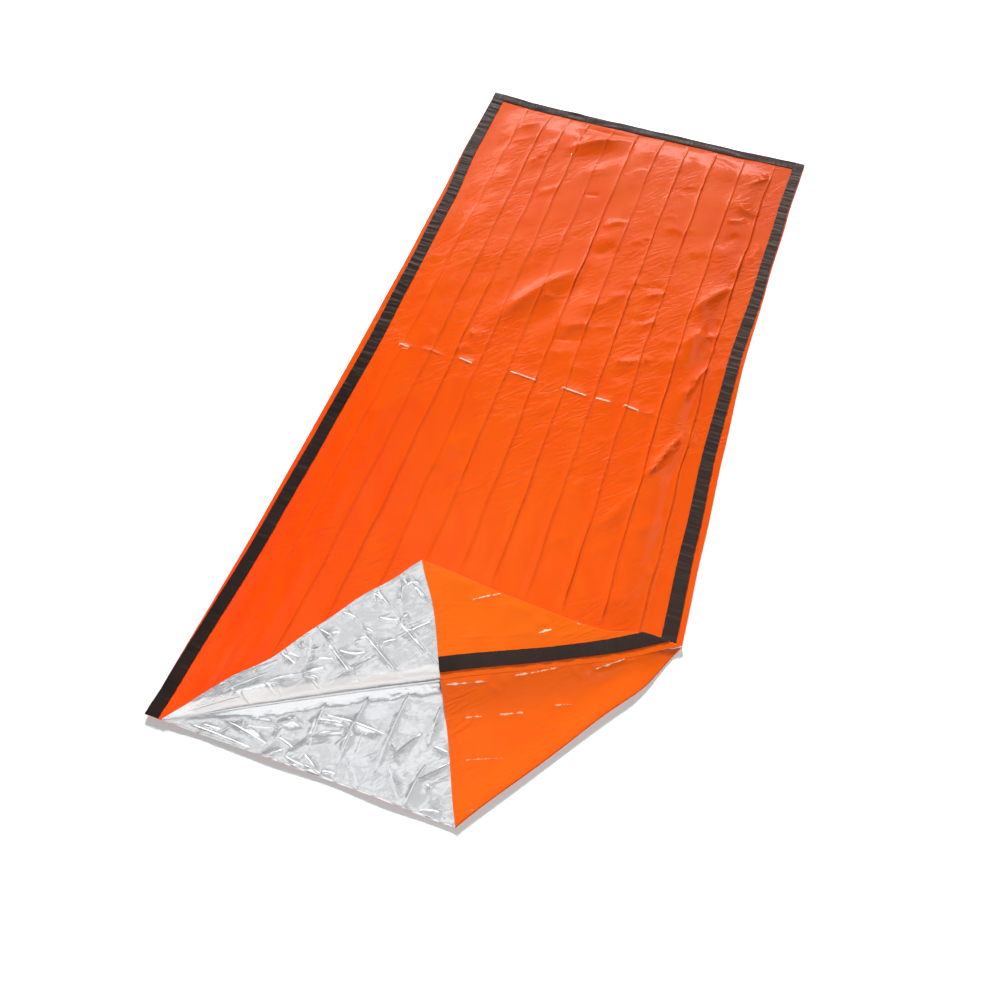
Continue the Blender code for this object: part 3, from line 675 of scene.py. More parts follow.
def creaseHeight(across, along):
    height = np.zeros(len(across))
    level, swing, first, second = creases["strength"]
    for crease in innerCreases:
        off = across - crease[0] - waver(crease, along)
        strength = np.sin(along * first[0] + crease[0] * first[1])
        strength *= np.cos(along * second[0] + crease[0] * second[1])
        height += crease[1] * (level + swing * strength) * read(creases["profile"], 1, off)
    off = np.abs(along - creases["crossAlong"] - crossShift(across)) / creases["crossHalfWidth"]
    return height + creases["crossHeight"] * clamp(1.0 - off) ** creases["crossSharp"]


# How the grids and the closed sheets are made.
sheets = {
    "join": 2e-5,
    "thickened": 0.01,
    "mouthRim": 0.003,
    "slopeStep": 0.0002,
    "sharpAngle": 60.0,
}


def spaced(start, end, step):
    return list(np.linspace(start, end, max(2, math.ceil((end - start) / step) + 1)))


def patternGrid(columns, rows):
    pattern = bmesh.new()
    bmesh.ops.create_grid(pattern, x_segments=len(columns) - 1, y_segments=len(rows) - 1, size=0.5)
    for vert in pattern.verts:
        vert.co.x = columns[round((vert.co.x + 0.5) * (len(columns) - 1))]
        vert.co.y = rows[round((vert.co.y + 0.5) * (len(rows) - 1))]
    return pattern


def pullToCreases(pattern):  # rows and columns beside a crease follow its waver
    (reach, fade), (crossReach, crossFade) = creases["pull"], creases["crossPull"]
    for vert in pattern.verts:
        across, along = vert.co.x, vert.co.y
        for crease in innerCreases:
            near = ease((reach - abs(across - crease[0])) / fade)
            if near > 0.0:
                vert.co.x += float(waver(crease, along) * near)
        near = ease((crossReach - abs(along - creases["crossAlong"])) / crossFade)
        if near > 0.0:
            vert.co.y += float(crossShift(np.array([across]))[0] * near)


def drawIn(pattern):
    across = pattern.verts.layers.float.new("across")
    along = pattern.verts.layers.float.new("along")
    flat = np.array([vert.co[:2] for vert in pattern.verts])
    places = outline(flat[:, 0] + wander(flat[:, 0], flat[:, 1]), flat[:, 1])
    for vert, cut, place in zip(pattern.verts, flat, places):
        vert[across], vert[along] = cut
        vert.co.xy = place


def cutLine(pattern, onLine, normal):
    geometry = pattern.verts[:] + pattern.edges[:] + pattern.faces[:]
    bmesh.ops.bisect_plane(
        pattern, geom=geometry, dist=sheets["join"],
        plane_co=(onLine[0], onLine[1], 0.0), plane_no=(normal[0], normal[1], 0.0),
    )


def cutFolds(pattern, hingeCuts, cornerCuts):
    for offset in hingeCuts:
        cutLine(pattern, hingeStart + hingeUp * offset, hingeUp)
    for offset in cornerCuts:
        cutLine(pattern, apex + cornerOut * offset, cornerOut)


def refine(pattern, wanted, cuts):  # the grid is finer where small wrinkles are wanted
    places = np.array([vert.co[:2] for vert in pattern.verts])
    for vert, inside in zip(pattern.verts, wanted(places)):
        vert.tag = bool(inside)
    edges = [edge for edge in pattern.edges if edge.verts[0].tag and edge.verts[1].tag]
    bmesh.ops.subdivide_edges(pattern, edges=edges, cuts=cuts, use_grid_fill=True)


# What the finishes read from the sheets. A pair is where a change starts and how far it reaches, if no note
# says otherwise.
tones = {
    "deepAcross": (-0.42, 0.45),
    "deepAlong": (-0.50, 0.70),
    "deepLevel": (-0.2, 0.9),  # level and swing
    "tipped": (0.0, 0.004),
    # painted light on the folded corner: a paler orange that grows away from the hinge
    "paintedLight": (0.010, 0.050),
    "paleShare": 0.55,
    # how strong the small creases are, by a ripple's scale, stretch, turn and seed
    "usedRipple": (9.0, 1.6, 0.9, 8.4),
    "usedSpread": (0.5, 1.6),  # middle and swing
    "usedLevel": 0.20,
    # the smooth band on the hinge, whose far edge wavers; on the silver it carries a painted reflection
    "bandFrom": (0.0015, 0.0015),
    "bandEnd": 0.0290,
    "bandFade": 0.0050,
    "bandWaver": 0.0025,
    "bandWaves": (61.0, 23.0, 0.6),  # radians for each metre, twice, and a phase
    # painted sheen: the tapes are painted paler towards the foot and the right
    "sheenAlong": (-0.30, 1.10),
    "sheenAcross": (-0.10, 0.30),
    "sheenShares": (0.50, 0.30),  # along and across
}


def tone(places, laid, turned):
    x, y = laid.T
    along, hinged = byHinge(laid).T
    folded = easeFrom(pastCorner(places), *tones["tipped"])
    # the orange is deeper near the left of the mouth, and on the folded corner painted light makes it paler
    level, swing = tones["deepLevel"]
    deep = (1.0 - easeFrom(x, *tones["deepAcross"])) * (1.0 - easeFrom(y, *tones["deepAlong"])) * swing + level
    paintedLight = folded * atLeast(tones["paleShare"], easeFrom(hinged, *tones["paintedLight"]))
    middle, swing = tones["usedSpread"]
    used = tones["usedLevel"] + ease(middle + swing * ripple(laid, *tones["usedRipple"]))
    # the smooth band by the hinge, where the silver gets a painted reflection
    first, second, phase = tones["bandWaves"]
    edge = tones["bandEnd"] + tones["bandWaver"] * np.sin(along * first) * np.sin(along * second + phase)
    band = ease((edge - hinged) / tones["bandFade"]) * easeFrom(hinged, *tones["bandFrom"])
    # painted glints: a pale line is painted along each step across the middle and along the short shining steps
    # by the hinge
    beside, paintedGlint = besideRows(wrinkles["dashes"], laid)
    besideGlints, glinting = besideRows(wrinkles["flapGlints"] + wrinkles["cornerGlints"], byHinge(laid))
    broken = glinting > paintedGlint
    besideLine, line = besideRows(wrinkles["flap" if turned else "mouth"], byHinge(laid))
    alongShare, acrossShare = tones["sheenShares"]
    return {
        "deep": deep,
        "paintedLight": paintedLight,
        "used": used,
        "band": band,
        "paintedSheen": alongShare * easeFrom(y, *tones["sheenAlong"]) + acrossShare * easeFrom(x, *tones["sheenAcross"]),
        "paintedGlint": np.maximum(paintedGlint, glinting * folded),
        "beside": np.where(broken, besideGlints, beside),
        "broken": broken,
        "line": line,
        "besideLine": besideLine,
    }


def thicken(pattern, finishes):  # the flat pattern becomes a closed sheet, and each face gets its finish
    side = pattern.verts.layers.float.new("side")
    along = pattern.verts.layers.float["along"]
    last = len(finishes) - 1
    rim = last if finishes[0] is silverFilm else 0
    bmesh.ops.dissolve_degenerate(pattern, edges=pattern.edges[:], dist=sheets["join"])
    bmesh.ops.triangulate(pattern, faces=[face for face in pattern.faces if len(face.verts) > 4])
    extruded = bmesh.ops.extrude_face_region(pattern, geom=pattern.faces[:])
    upper = {item for item in extruded["geom"] if isinstance(item, bmesh.types.BMVert)}
    for vert in upper:
        vert[side] = 1.0
        vert.co.z = sheets["thickened"]
    bmesh.ops.recalc_face_normals(pattern, faces=pattern.faces[:])
    for face in pattern.faces:
        inUpper = sum(vert in upper for vert in face.verts)
        atMouth = max(vert[along] for vert in face.verts) < sheets["mouthRim"]
        if inUpper == len(face.verts) or (inUpper and atMouth):
            face.material_index = 0
        else:
            face.material_index = rim if inUpper else last
        face.smooth = True


def readAttribute(mesh, name):
    values = np.zeros(len(mesh.vertices), np.float32)
    mesh.attributes[name].data.foreach_get("value", values)
    return values.astype(float)


def closeSheet(name, pattern, lay, relief, low, high, finishes, turnedMap=False):
    thicken(pattern, finishes)
    mesh = bpy.data.meshes.new(name)
    pattern.to_mesh(mesh)
    pattern.free()

    flat = np.zeros(len(mesh.vertices) * 3)
    mesh.vertices.foreach_get("co", flat)
    places = flat.reshape(-1, 3)[:, :2].copy()
    across, along, upward = (readAttribute(mesh, key) for key in ("across", "along", "side"))
    step = sheets["slopeStep"]
    run = lay(places + (step, 0.0)) - lay(places - (step, 0.0))
    climb = lay(places + (0.0, step)) - lay(places - (0.0, step))
    normals = np.cross(run, climb)
    normals /= np.linalg.norm(normals, axis=1)[:, None]
    laid = lay(places)
    outward, upwards = relief(places, laid, across, along, upward)
    laid = laid + normals * (low + (high - low) * upward + outward)[:, None]
    laid[:, 2] += upwards
    mesh.vertices.foreach_set("co", laid.ravel())

    corners = np.zeros(len(mesh.loops), np.int32)
    mesh.loops.foreach_get("vertex_index", corners)
    cut = (along, across) if turnedMap else (across, along)
    mesh.uv_layers.new(name="cut").data.foreach_set("uv", np.column_stack(cut)[corners].ravel())
    for key, values in tone(places, laid[:, :2], finishes[0] is orangeFilm).items():
        mesh.attributes.new(key, "FLOAT", "POINT").data.foreach_set("value", values.astype(np.float32))
    for finish in finishes:
        mesh.materials.append(finish)
    mesh.update()
    mesh.set_sharp_from_angle(angle=math.radians(sheets["sharpAngle"]))
    piece = bpy.data.objects.new(name, mesh)
    bpy.context.scene.collection.objects.link(piece)
    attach(piece, "root")
    print(name, "laid:", len(mesh.polygons), "faces")
    return piece


def setInputs(tree, node, inputs):  # values are set, and other nodes' outputs are linked
    for key, value in inputs.items():
        if isinstance(value, bpy.types.NodeSocket):
            tree.links.new(value, node.inputs[key])
        else:
            node.inputs[key].default_value = value


def addNode(tree, kind, output, inputs, **settings):
    node = tree.nodes.new("ShaderNode" + kind)
    for key, value in settings.items():
        setattr(node, key, value)
    setInputs(tree, node, inputs)
    return node.outputs[output]


def addNoise(tree, place, scale, detail, **more):
    return addNode(tree, "TexNoise", "Fac", {"Vector": place, "Scale": scale, "Detail": detail, **more})


def addDrawn(tree, place, turn, stretch, detail, distortion):  # noise drawn out along a slant
    turned = addNode(tree, "Mapping", "Vector", {"Vector": place, "Rotation": (0.0, 0.0, turn)})
    drawn = addNode(tree, "Mapping", "Vector", {"Vector": turned, "Scale": stretch})
    return addNoise(tree, drawn, 1.0, detail, Distortion=distortion)


def addAttribute(tree, name):
    return addNode(tree, "Attribute", "Fac", {}, attribute_name=name)


def addMath(tree, operation, *values, **settings):
    return addNode(tree, "Math", "Value", dict(enumerate(values)), operation=operation, **settings)


def addBlend(tree, share, first, second, **settings):
    inputs = {"Factor": share, "A": first, "B": second}
    return addNode(tree, "Mix", "Result", inputs, data_type="RGBA", **settings)


def addRange(tree, value, spread, result, **settings):
    inputs = {"Value": value}
    inputs["From Min"], inputs["From Max"] = spread
    inputs["To Min"], inputs["To Max"] = result
    return addNode(tree, "MapRange", "Result", inputs, **settings)


def addBump(tree, height, rise, strength, **more):
    return addNode(tree, "Bump", "Normal", {"Height": height, "Distance": rise, "Strength": strength, **more})


def addCrinkle(tree, place, scale, detail, roughness, rise, strength):
    return addBump(tree, addNoise(tree, place, scale, detail, Roughness=roughness), rise, strength)


def newFinish(name):
    finish = bpy.data.materials.new(name)
    finish.use_nodes = True
    tree = finish.node_tree
    return finish, tree, addNode(tree, "TexCoord", "Object", {})


def dress(tree, inputs):
    setInputs(tree, tree.nodes["Principled BSDF"], inputs)


filmOutside = {
    "colour": (0.93, 0.098, 0.0010, 1.0),
    "deepColour": (0.92, 0.064, 0.0008, 1.0),
    # painted light: the paler orange of the folded corner
    "paleColour": (0.94, 0.140, 0.0014, 1.0),
    # painted glint: the pale colour painted along the steps' lines
    "paintedGlintColour": (1.00, 0.80, 0.58, 1.0),
    # turn, stretch, detail and distortion
    "cloud": (-0.25, (15.0, 5.0, 1.0), 4.0, 1.2),
    "cloudSpread": (0.30, 0.70),
    "cloudDepth": (-0.12, 0.46),
    "patchScale": 90.0,
    "patchDetail": 4.0,
    "patchSpread": (0.42, 0.66),
    "patchWidth": (0.05, 1.5),
    "glintHalfWidth": (0.0010, 0.0022),
    "glintFrom": (0.6, 1.0),
    "roughness": 0.24,
    "specular": 0.09,
    "coat": 0.24,
    "coatRoughness": 0.09,
    # scale, detail, roughness, rise and strength
    "crinkle": (42.0, 4.0, 0.55, 0.0014, 0.5),
    # as for the clouds
    "crease": (-0.85, (15.0, 48.0, 1.0), 3.0, 1.6),
    "creaseRise": 0.0017,
}


def makeFilmOutside():
    look = filmOutside
    finish, tree, place = newFinish("orangeFilm")
    clouds = addRange(tree, addDrawn(tree, place, *look["cloud"]), look["cloudSpread"], look["cloudDepth"])
    depth = addMath(tree, "ADD", clouds, addAttribute(tree, "deep"))
    tint = addBlend(tree, depth, look["colour"], look["deepColour"], clamp_factor=False)
    # painted light: the folded corner is painted a paler orange
    tint = addBlend(tree, addAttribute(tree, "paintedLight"), tint, look["paleColour"])
    # a thin painted glint line, broken up on the folded corner
    off = addMath(tree, "ABSOLUTE", addAttribute(tree, "beside"))
    patches = addNoise(tree, place, look["patchScale"], look["patchDetail"])
    spread = addRange(tree, patches, look["patchSpread"], look["patchWidth"])
    width = addNode(tree, "Mix", "Result", {"Factor": addAttribute(tree, "broken"), "A": 1.0, "B": spread})
    thin = addRange(tree, addMath(tree, "DIVIDE", off, width), look["glintHalfWidth"], (1.0, 0.0))
    inside = addRange(tree, addAttribute(tree, "paintedGlint"), look["glintFrom"], (0.0, 1.0))
    tint = addBlend(tree, addMath(tree, "MULTIPLY", thin, inside), tint, look["paintedGlintColour"])
    crinkle = addCrinkle(tree, place, *look["crinkle"])
    small = addDrawn(tree, place, *look["crease"])
    crease = addBump(tree, small, look["creaseRise"], addAttribute(tree, "used"), Normal=crinkle)
    dress(tree, {
        "Base Color": tint,
        "Roughness": look["roughness"],
        "Specular IOR Level": look["specular"],
        "Coat Weight": look["coat"],
        "Coat Roughness": look["coatRoughness"],
        "Normal": crease,
        "Coat Normal": crease,
    })
    return finish


filmInside = {
    "colour": (0.90, 0.89, 0.885, 1.0),
    "coolColour": (0.87, 0.89, 0.93, 1.0),
    # painted reflection: a pinkish colour on the smooth band by the hinge
    "paintedBandColour": (0.94, 0.90, 0.89, 1.0),
    "cloudScale": 7.0,
    "cloudDetail": 3.0,
    # the film's own and the smooth band's, lower there as part of its painted reflection
    "metallic": (0.78, 0.25),
    "roughness": 0.19,
    # scale, detail, roughness, rise and strength
    "crinkle": (34.0, 3.0, 0.5, 0.0016, 0.6),
    # turn, stretch, detail and distortion
    "crease": (-0.9, (14.0, 46.0, 1.0), 2.0, 1.2),
    "creaseRise": 0.0010,
    "creaseStrength": 0.7,
    "lineHalfWidth": 0.0020,
    "lineRise": 0.0006,
}


def makeFilmInside():
    look = filmInside
    finish, tree, place = newFinish("silverFilm")
    band = addAttribute(tree, "band")
    cloud = addNoise(tree, place, look["cloudScale"], look["cloudDetail"])
    tint = addBlend(tree, cloud, look["colour"], look["coolColour"])
    crinkle = addCrinkle(tree, place, *look["crinkle"])
    small = addDrawn(tree, place, *look["crease"])
    crease = addBump(tree, small, look["creaseRise"], look["creaseStrength"], Normal=crinkle)
    # a sharp low ridge along each listed wrinkle
    off = addMath(tree, "ABSOLUTE", addAttribute(tree, "besideLine"))
    ridge = addRange(tree, off, (0.0, look["lineHalfWidth"]), (1.0, 0.0), interpolation_type="SMOOTHSTEP")
    inside = addMath(tree, "MULTIPLY", ridge, addAttribute(tree, "line"))
    # painted reflection: the smooth band gets a pinkish colour and less metal
    dress(tree, {
        "Base Color": addBlend(tree, band, tint, look["paintedBandColour"]),
        "Metallic": addRange(tree, band, (0.0, 1.0), look["metallic"]),
        "Roughness": look["roughness"],
        "Normal": addBump(tree, inside, look["lineRise"], 1.0, Normal=crease),
    })
    return finish


tapeLook = {
    "colour": (0.006, 0.003, 0.0025, 1.0),
    "paleColour": (0.072, 0.046, 0.038, 1.0),
    "cloudScale": 6.0,
    "cloudDetail": 4.0,
    "cloudShare": 0.45,
    "roughness": 0.28,
    "specular": 0.14,
    "foldStretch": (9.0, 105.0, 1.0),
    "foldDetail": 3.0,
    "foldRise": 0.0026,
    # scale, detail, roughness, rise and strength
    "crinkle": (60.0, 4.0, 0.5, 0.0008, 0.6),
}


def makeTapeFinish():
    look = tapeLook
    finish, tree, place = newFinish("blackTape")
    cloud = addNoise(tree, place, look["cloudScale"], look["cloudDetail"])
    # the tape's colour mixes a random tone with a painted sheen, paler towards the foot and the right
    paintedSheen = addAttribute(tree, "paintedSheen")
    share = addMath(tree, "MULTIPLY_ADD", cloud, look["cloudShare"], paintedSheen, use_clamp=True)
    crinkle = addCrinkle(tree, place, *look["crinkle"])
    cut = addNode(tree, "UVMap", "UV", {}, uv_map="cut")
    drawn = addNode(tree, "Mapping", "Vector", {"Vector": cut, "Scale": look["foldStretch"]})
    small = addNoise(tree, drawn, 1.0, look["foldDetail"])
    dress(tree, {
        "Base Color": addBlend(tree, share, look["colour"], look["paleColour"]),
        "Roughness": look["roughness"],
        "Specular IOR Level": look["specular"],
        "Normal": addBump(tree, small, look["foldRise"], 1.0, Normal=crinkle),
    })
    return finish


orangeFilm = makeFilmOutside()
silverFilm = makeFilmInside()
blackTape = makeTapeFinish()
print("finishes mixed")

topPanel = {
    "rowStep": 0.0140,
    "columnStep": 0.0140,
    "besideCrease": (-0.0056, -0.0030, -0.0006, 0.0015, 0.0036, 0.0095),
    "besideCross": (-0.0060, -0.0030, 0.0, 0.0030, 0.0060),
    "crossGap": 0.0075,
    "leftColumns": (0.0, 0.004, 0.010, 0.0245, 0.039),
    "rightColumns": (0.8725, 0.887, 0.894, 0.8998),
    "mouthRows": (0.0, 0.0040),
    "footRows": (1.986, 2.0),
    "rowsFrom": 0.0125,
    "flapBelow": 0.006,
    "bodyAbove": 0.010,
    "flapCuts": 2,
    "wrinkleMargin": 0.0,
    "ridgeMargin": -0.0035,
    "ridgeWidth": 0.0065,
    "dashMargin": 0.002,
    # the part of the body under the flap lies above the hinge, inside two slants
    "underSlants": ((0.47, 0.88), (0.53, 0.85)),
    "underEnd": 0.98,
    "underFade": 0.020,
    "underCalm": 0.85,
    "seamGap": 0.002,
    "hingeClear": 0.020,
    "cornerClear": 0.015,
    "tipShare": 0.3,
    # ripples are stronger away from the mouth
    "far": (0.80, 0.70),
    "nearShare": 0.30,
    # how far wrinkles rise and how sharp they are, and how far their planes rise and how broad they are
    "body": (1.8, 1.1, 0.5, 3.5),
    "flap": (0.70, 1.3, 0.85, 5.0),
    # scale, stretch, turn and seed
    "rippleRise": 0.0018,
    "ripple": (24.0, 2.6, 0.9, 1.7),
    "swellRise": 0.0020,
    "swell": (7.0, 1.6, 0.9, 5.2),
    "dashEdge": 0.0004,
    "crumpleRise": 0.0008,
    "crumple": (26.0, 0.5, 9.1),  # scale, turn and seed
    "crumpleLow": 0.25,
    "silverFade": 0.010,
    "bandMiddle": 0.014,
    "bandHalf": 0.018,
    "bandCalm": 0.8,
    "glintEdge": 0.0002,
    "room": 0.6,
    "edgeCurl": 0.0009,
    "curlReach": 0.006,
}


def topColumns():
    columns = list(topPanel["leftColumns"])
    for crease in innerCreases:
        start = crease[0] + topPanel["besideCrease"][0]
        columns += spaced(columns[-1], start, topPanel["columnStep"])[1:-1]
        columns += [crease[0] + beside for beside in topPanel["besideCrease"]]
    columns += spaced(columns[-1], tapes["right"][0], topPanel["columnStep"])[1:]
    return columns + list(topPanel["rightColumns"])


def topRows():
    cross, gap, step = creases["crossAlong"], topPanel["crossGap"], topPanel["rowStep"]
    rows = list(topPanel["mouthRows"]) + spaced(topPanel["rowsFrom"], cross - gap, step)
    rows += [cross + beside for beside in topPanel["besideCross"]]
    return rows + spaced(cross + gap, tapes["foot"][0], step) + list(topPanel["footRows"])


def underFlap(places):
    along, above = byHinge(places).T
    (nearAlong, nearAbove), (farAlong, farAbove) = topPanel["underSlants"]
    near = nearAlong * along - nearAbove * above
    far = farAlong * (topPanel["underEnd"] - along) - farAbove * above
    return ease(np.minimum(near, far) / topPanel["underFade"]) * (above > 0.0)


def bodyRelief(laid, along):
    far = atLeast(topPanel["nearShare"], easeFrom(along, *topPanel["far"]))
    body = wrinkled(wrinkles["body"], laid, *topPanel["body"])
    body += topPanel["rippleRise"] * far * ripple(laid, *topPanel["ripple"])
    body += topPanel["swellRise"] * far * ripple(laid, *topPanel["swell"])
    return stepped(body, wrinkles["dashes"], laid, topPanel["dashEdge"])


def flapRelief(places, hinged):
    flap = wrinkled(wrinkles["flap"], hinged, *topPanel["flap"])
    share = atLeast(topPanel["crumpleLow"], ease(-pastCorner(places) / topPanel["silverFade"]))
    offBand = np.abs(np.maximum(0.0, hinged[:, 1]) - topPanel["bandMiddle"]) / topPanel["bandHalf"]
    calm = 1.0 - topPanel["bandCalm"] * ease(1.0 - offBand)
    flap += topPanel["crumpleRise"] * crumple(hinged, *topPanel["crumple"]) * share * calm
    return stepped(flap, wrinkles["flapGlints"], hinged, topPanel["glintEdge"])


def topRelief(places, laid, across, along, upward):
    turned = aboveHinge(places) < 0.0
    past = pastCorner(places)
    gap = topPanel["seamGap"]
    inside = np.minimum(across - tapes["left"][1] - gap, tapes["right"][0] - gap - across)
    film = ease(np.minimum(inside, tapes["foot"][0] - gap - along) / creases["fade"])
    offFolds = ease(np.abs(aboveHinge(places)) / topPanel["hingeClear"])
    offFolds *= ease(np.abs(past) / topPanel["cornerClear"])
    clear = 1.0 - topPanel["underCalm"] * underFlap(places)
    outward = creaseHeight(across, along) * film * offFolds * np.where(turned, creases["onFlap"], clear)
    outward *= np.where(turned & (past > 0.0), topPanel["tipShare"], 1.0)
    body = bodyRelief(laid[:, :2], along) * clear
    upwards = np.where(turned, flapRelief(places, byHinge(laid[:, :2])), body) * film * offFolds
    room = topPanel["room"] * (laid[:, 2] - bag["topLevel"])
    upwards = np.where(turned, upwards, np.maximum(upwards + outward, -room) - outward)
    return outward, upwards + topPanel["edgeCurl"] * clamp(1.0 - along / topPanel["curlReach"])


def onBody(places):
    return (aboveHinge(places) > topPanel["bodyAbove"]) & (underFlap(places) < 0.5)


pattern = patternGrid(topColumns(), topRows())
pullToCreases(pattern)
drawIn(pattern)
narrow = [row for row in wrinkles["body"] if row[5] < topPanel["ridgeWidth"]]
refine(pattern, lambda places: aboveHinge(places) < topPanel["flapBelow"], topPanel["flapCuts"])
for rows, margin in ((wrinkles["body"], topPanel["wrinkleMargin"]), (narrow, topPanel["ridgeMargin"])):
    refine(pattern, lambda places: onBody(places) & nearRows(rows, places, margin), 1)
refine(pattern, lambda places: nearRows(wrinkles["dashes"], places, topPanel["dashMargin"]), 1)
cutFolds(pattern, folds["hingeCuts"], folds["cornerCuts"])
halfFilm = bag["film"] / 2
topPiece = closeSheet("topFilm", pattern, layTop, topRelief, -halfFilm, halfFilm, (orangeFilm, silverFilm))
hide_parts("top_panel")

bottomPanel = {
    "step": 0.0125,
    "mouthRows": (0.0, 0.0040),
    "fineBelow": 0.045,
    "finePast": -0.010,
    "cuts": 3,
    # wrinkles start this far below the hinge, give or take a waver, and fade in behind the mouth's edge
    "mouthFrom": 0.007,
    "mouthFade": 0.006,
    "mouthWaver": 0.003,
    "mouthWaves": 70.0,
    "edgeFade": 0.003,
    "mouth": (0.70, 1.3, 0.90, 5.0),  # as for the top panel's wrinkles
    "crumpleRise": 0.0011,
    "crumpleLevel": 0.25,
    "crumple": (28.0, 0.5, 3.3),  # scale, turn and seed
    "cornerRise": 0.85,
    "cornerCrest": 1.3,
    "glintEdge": 0.0001,
    "foldClear": 0.012,
}


def bottomRelief(places, laid, across, along, upward):
    past = pastCorner(places)
    hinged = byHinge(laid[:, :2])
    waves = np.sin(hinged[:, 0] * bottomPanel["mouthWaves"])
    edge = bottomPanel["mouthFrom"] - bottomPanel["mouthWaver"] * waves
    inMouth = ease((-hinged[:, 1] - edge) / bottomPanel["mouthFade"]) * ease(along / bottomPanel["edgeFade"])
    mouth = wrinkled(wrinkles["mouth"], hinged, *bottomPanel["mouth"])
    folded = bottomPanel["crumpleLevel"] + crumple(hinged, *bottomPanel["crumple"])
    mouth += bottomPanel["crumpleRise"] * folded
    corner = bottomPanel["cornerRise"] * ridges(wrinkles["corner"], hinged, bottomPanel["cornerCrest"])
    corner = stepped(corner, wrinkles["cornerGlints"], hinged, bottomPanel["glintEdge"])
    shown = np.where(past > 0.0, corner, np.maximum(mouth, 0.0))
    return np.zeros(len(places)), shown * inMouth * ease(np.abs(past) / bottomPanel["foldClear"])


step = bottomPanel["step"]
pattern = patternGrid(spaced(0.0, bag["width"] - bag["bottomInset"], step),
                      list(bottomPanel["mouthRows"]) + spaced(step, bag["length"], step))
drawIn(pattern)
refine(pattern, lambda places: (aboveHinge(places) < bottomPanel["fineBelow"])
       | (pastCorner(places) > bottomPanel["finePast"]), bottomPanel["cuts"])
cutFolds(pattern, (), folds["cornerCuts"])
bottomPiece = closeSheet("bottomFilm", pattern, layBottom, bottomRelief, -halfFilm, halfFilm,
                         (silverFilm, orangeFilm))
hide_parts("bottom_panel")


def tapeRelief(places, laid, across, along, upward):
    folded = tapes["foldLevel"] + ripple(np.column_stack((across, along)), *tapes["foldRipple"])
    return np.maximum(0.0, tapes["foldRise"] * folded) * upward, np.zeros(len(places))


def makeTape(name, node, columns, rows, cuts, turnedMap=False):
    pattern = patternGrid(columns, rows)
    drawIn(pattern)
    cutFolds(pattern, *cuts)
    piece = closeSheet(name, pattern, layTop, tapeRelief, tapes["low"], tapes["high"], (blackTape,), turnedMap)
    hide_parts(node)
    return piece


noCuts, allCuts = ((), ()), (folds["hingeCuts"], folds["cornerCuts"])
lengthways = spaced(0.0, tapes["foot"][0] - tapes["sideGap"], tapes["stepAlong"])
sideways = spaced(0.0, bag["width"] - bag["topInset"], tapes["stepAlong"])
left, right, foot = (spaced(*tapes[key], tapes["stepAcross"]) for key in ("left", "right", "foot"))
leftTape = makeTape("leftTape", "left_tape", left, lengthways, noCuts)
rightTape = makeTape("rightTape", "right_tape", right, lengthways, allCuts)
footTape = makeTape("footTape", "foot_tape", sideways, foot, noCuts, True)

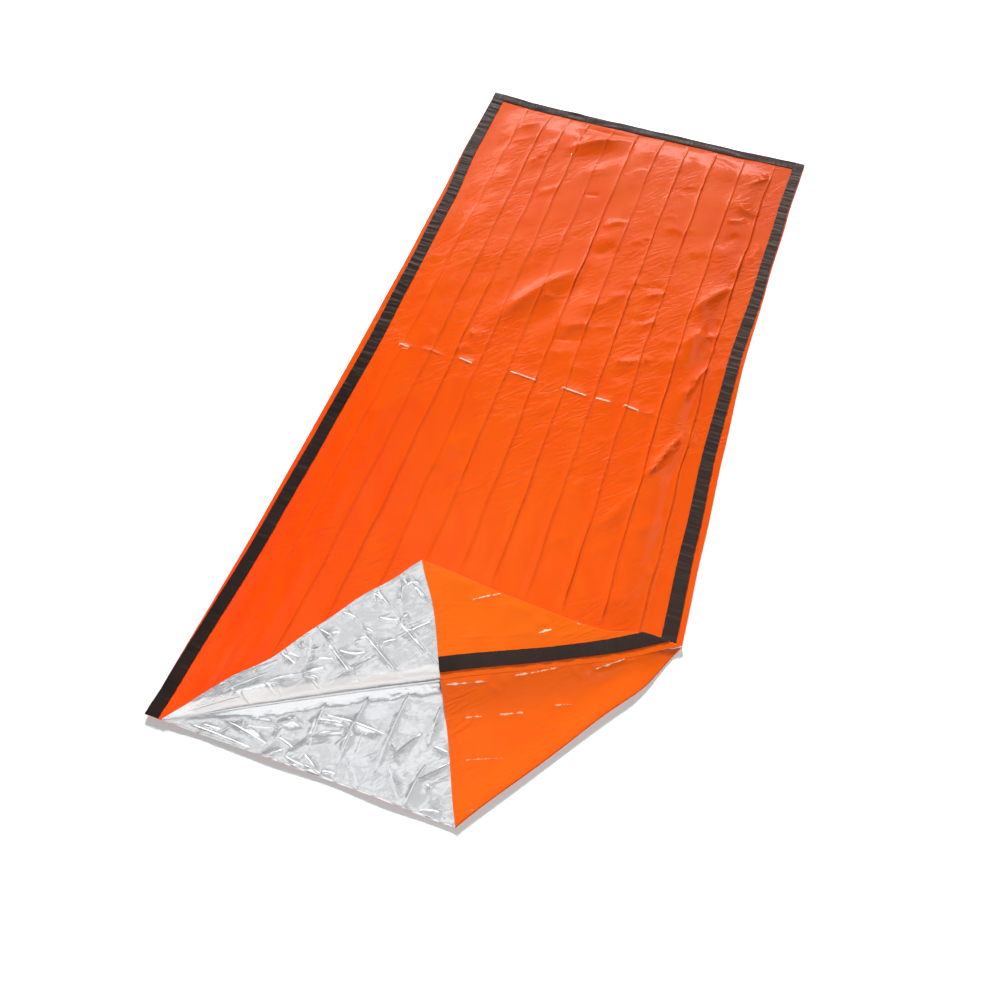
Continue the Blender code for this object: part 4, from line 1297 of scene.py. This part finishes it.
studio = {
    "floorSize": 30.0,
    "floorColour": (0.918, 0.972, 0.976, 1.0),
    "floorRoughness": 0.9,
    # the floor glows a little, more so away from the mouth
    "glowFrom": (0.0, -1.0, 0.0),
    "glowSpread": (0.55, 1.60),
    "glow": (0.08, 0.62),
    "white": (1.0, 1.0, 1.0, 1.0),
    "worldStrength": 0.12,
    # at, aimed at, width, depth, power, spread: lamps light the cloth, and panels are only mirrored in it
    "lamps": (
        ("keyLight", (-4.6, 8.6, 6.2), (1.6, -6.5, 0.0), 1.6, 1.6, 215.0, 50.0),
        ("nearLight", (1.10, -1.90, 3.00), (0.1, -0.7, 0.0), 1.4, 1.0, 38.0, 180.0),
    ),
    "panels": (
        ("ceiling", (-0.6, 1.2, 4.2), (-0.6, 1.2, 0.0), 4.0, 3.4, 15.6, 180.0),
        ("whiteEnd", (-2.1, 0.4, 4.1), (-2.1, 0.4, 0.0), 1.2, 1.6, 2.4, 180.0),
        ("whiteFlap", (-1.1, 1.7, 4.1), (-1.1, 1.7, 0.0), 1.0, 0.8, 1.4, 180.0),
        ("whiteMouth", (-0.6, 0.3, 4.1), (-0.6, 0.3, 0.0), 1.2, 0.8, 1.6, 180.0),
        ("farPanel", (0.1, 5.6, 3.9), (0.0, 0.6, 0.0), 6.0, 2.2, 47.0, 180.0),
        ("lowPanel", (-2.5, 9.3, 3.15), (0.0, 0.5, 0.0), 9.0, 2.3, 280.0, 180.0),
        ("leftPanel", (-4.4, -0.6, 3.4), (-0.3, -0.8, 0.0), 3.0, 2.4, 26.0, 180.0),
        ("rightPanel", (3.8, 0.6, 3.4), (0.0, -0.5, 0.0), 2.0, 3.4, 19.0, 180.0),
        ("rightSoft", (2.6, 2.8, 4.2), (2.6, 2.8, 0.0), 1.4, 3.0, 20.0, 180.0),
        ("nearPanel", (-0.4, -2.1, 4.2), (-0.4, -2.1, 0.0), 3.2, 2.2, 25.0, 180.0),
        ("frontPanel", (0.0, -4.4, 1.5), (0.0, -0.8, 0.0), 5.0, 2.4, 38.0, 180.0),
        ("shortTube", (0.85, -0.30, 4.20), (0.85, -0.30, 0.0), 1.6, 0.25, 7.5, 180.0),
    ),
}


def addFloor():
    pattern = bmesh.new()
    bmesh.ops.create_grid(pattern, x_segments=1, y_segments=1, size=studio["floorSize"] / 2)
    mesh = bpy.data.meshes.new("floor")
    pattern.to_mesh(mesh)
    pattern.free()
    floor = bpy.data.objects.new("floor", mesh)
    bpy.context.scene.collection.objects.link(floor)
    paper, tree, place = newFinish("floorPaper")
    away = addNode(tree, "VectorMath", "Value", {0: place, 1: studio["glowFrom"]}, operation="DISTANCE")
    dress(tree, {
        "Base Color": studio["floorColour"],
        "Roughness": studio["floorRoughness"],
        "Specular IOR Level": 0.0,
        "Emission Color": studio["white"],
        "Emission Strength": addRange(tree, away, studio["glowSpread"], studio["glow"]),
    })
    mesh.materials.append(paper)


def addLight(name, at, aim, width, depth, power, spread, isLamp):
    lamp = bpy.data.lights.new(name, "AREA")
    lamp.shape = "RECTANGLE"
    lamp.size, lamp.size_y = width, depth
    lamp.energy = power
    lamp.spread = math.radians(spread)
    stand = bpy.data.objects.new(name, lamp)
    stand.location = at
    stand.rotation_euler = (Vector(aim) - Vector(at)).to_track_quat("-Z", "Y").to_euler()
    stand.visible_diffuse = isLamp
    stand.visible_glossy = not isLamp
    bpy.context.scene.collection.objects.link(stand)


def addWorld():
    world = bpy.data.worlds.new("studio")
    world.use_nodes = True
    setInputs(world.node_tree, world.node_tree.nodes["Background"], {
        "Color": studio["white"], "Strength": studio["worldStrength"]})
    bpy.context.scene.world = world
    bpy.context.scene.view_settings.view_transform = "Standard"


addFloor()
for group in ("lamps", "panels"):
    for light in studio[group]:
        addLight(*light, group == "lamps")
addWorld()
print("floor and lights set")
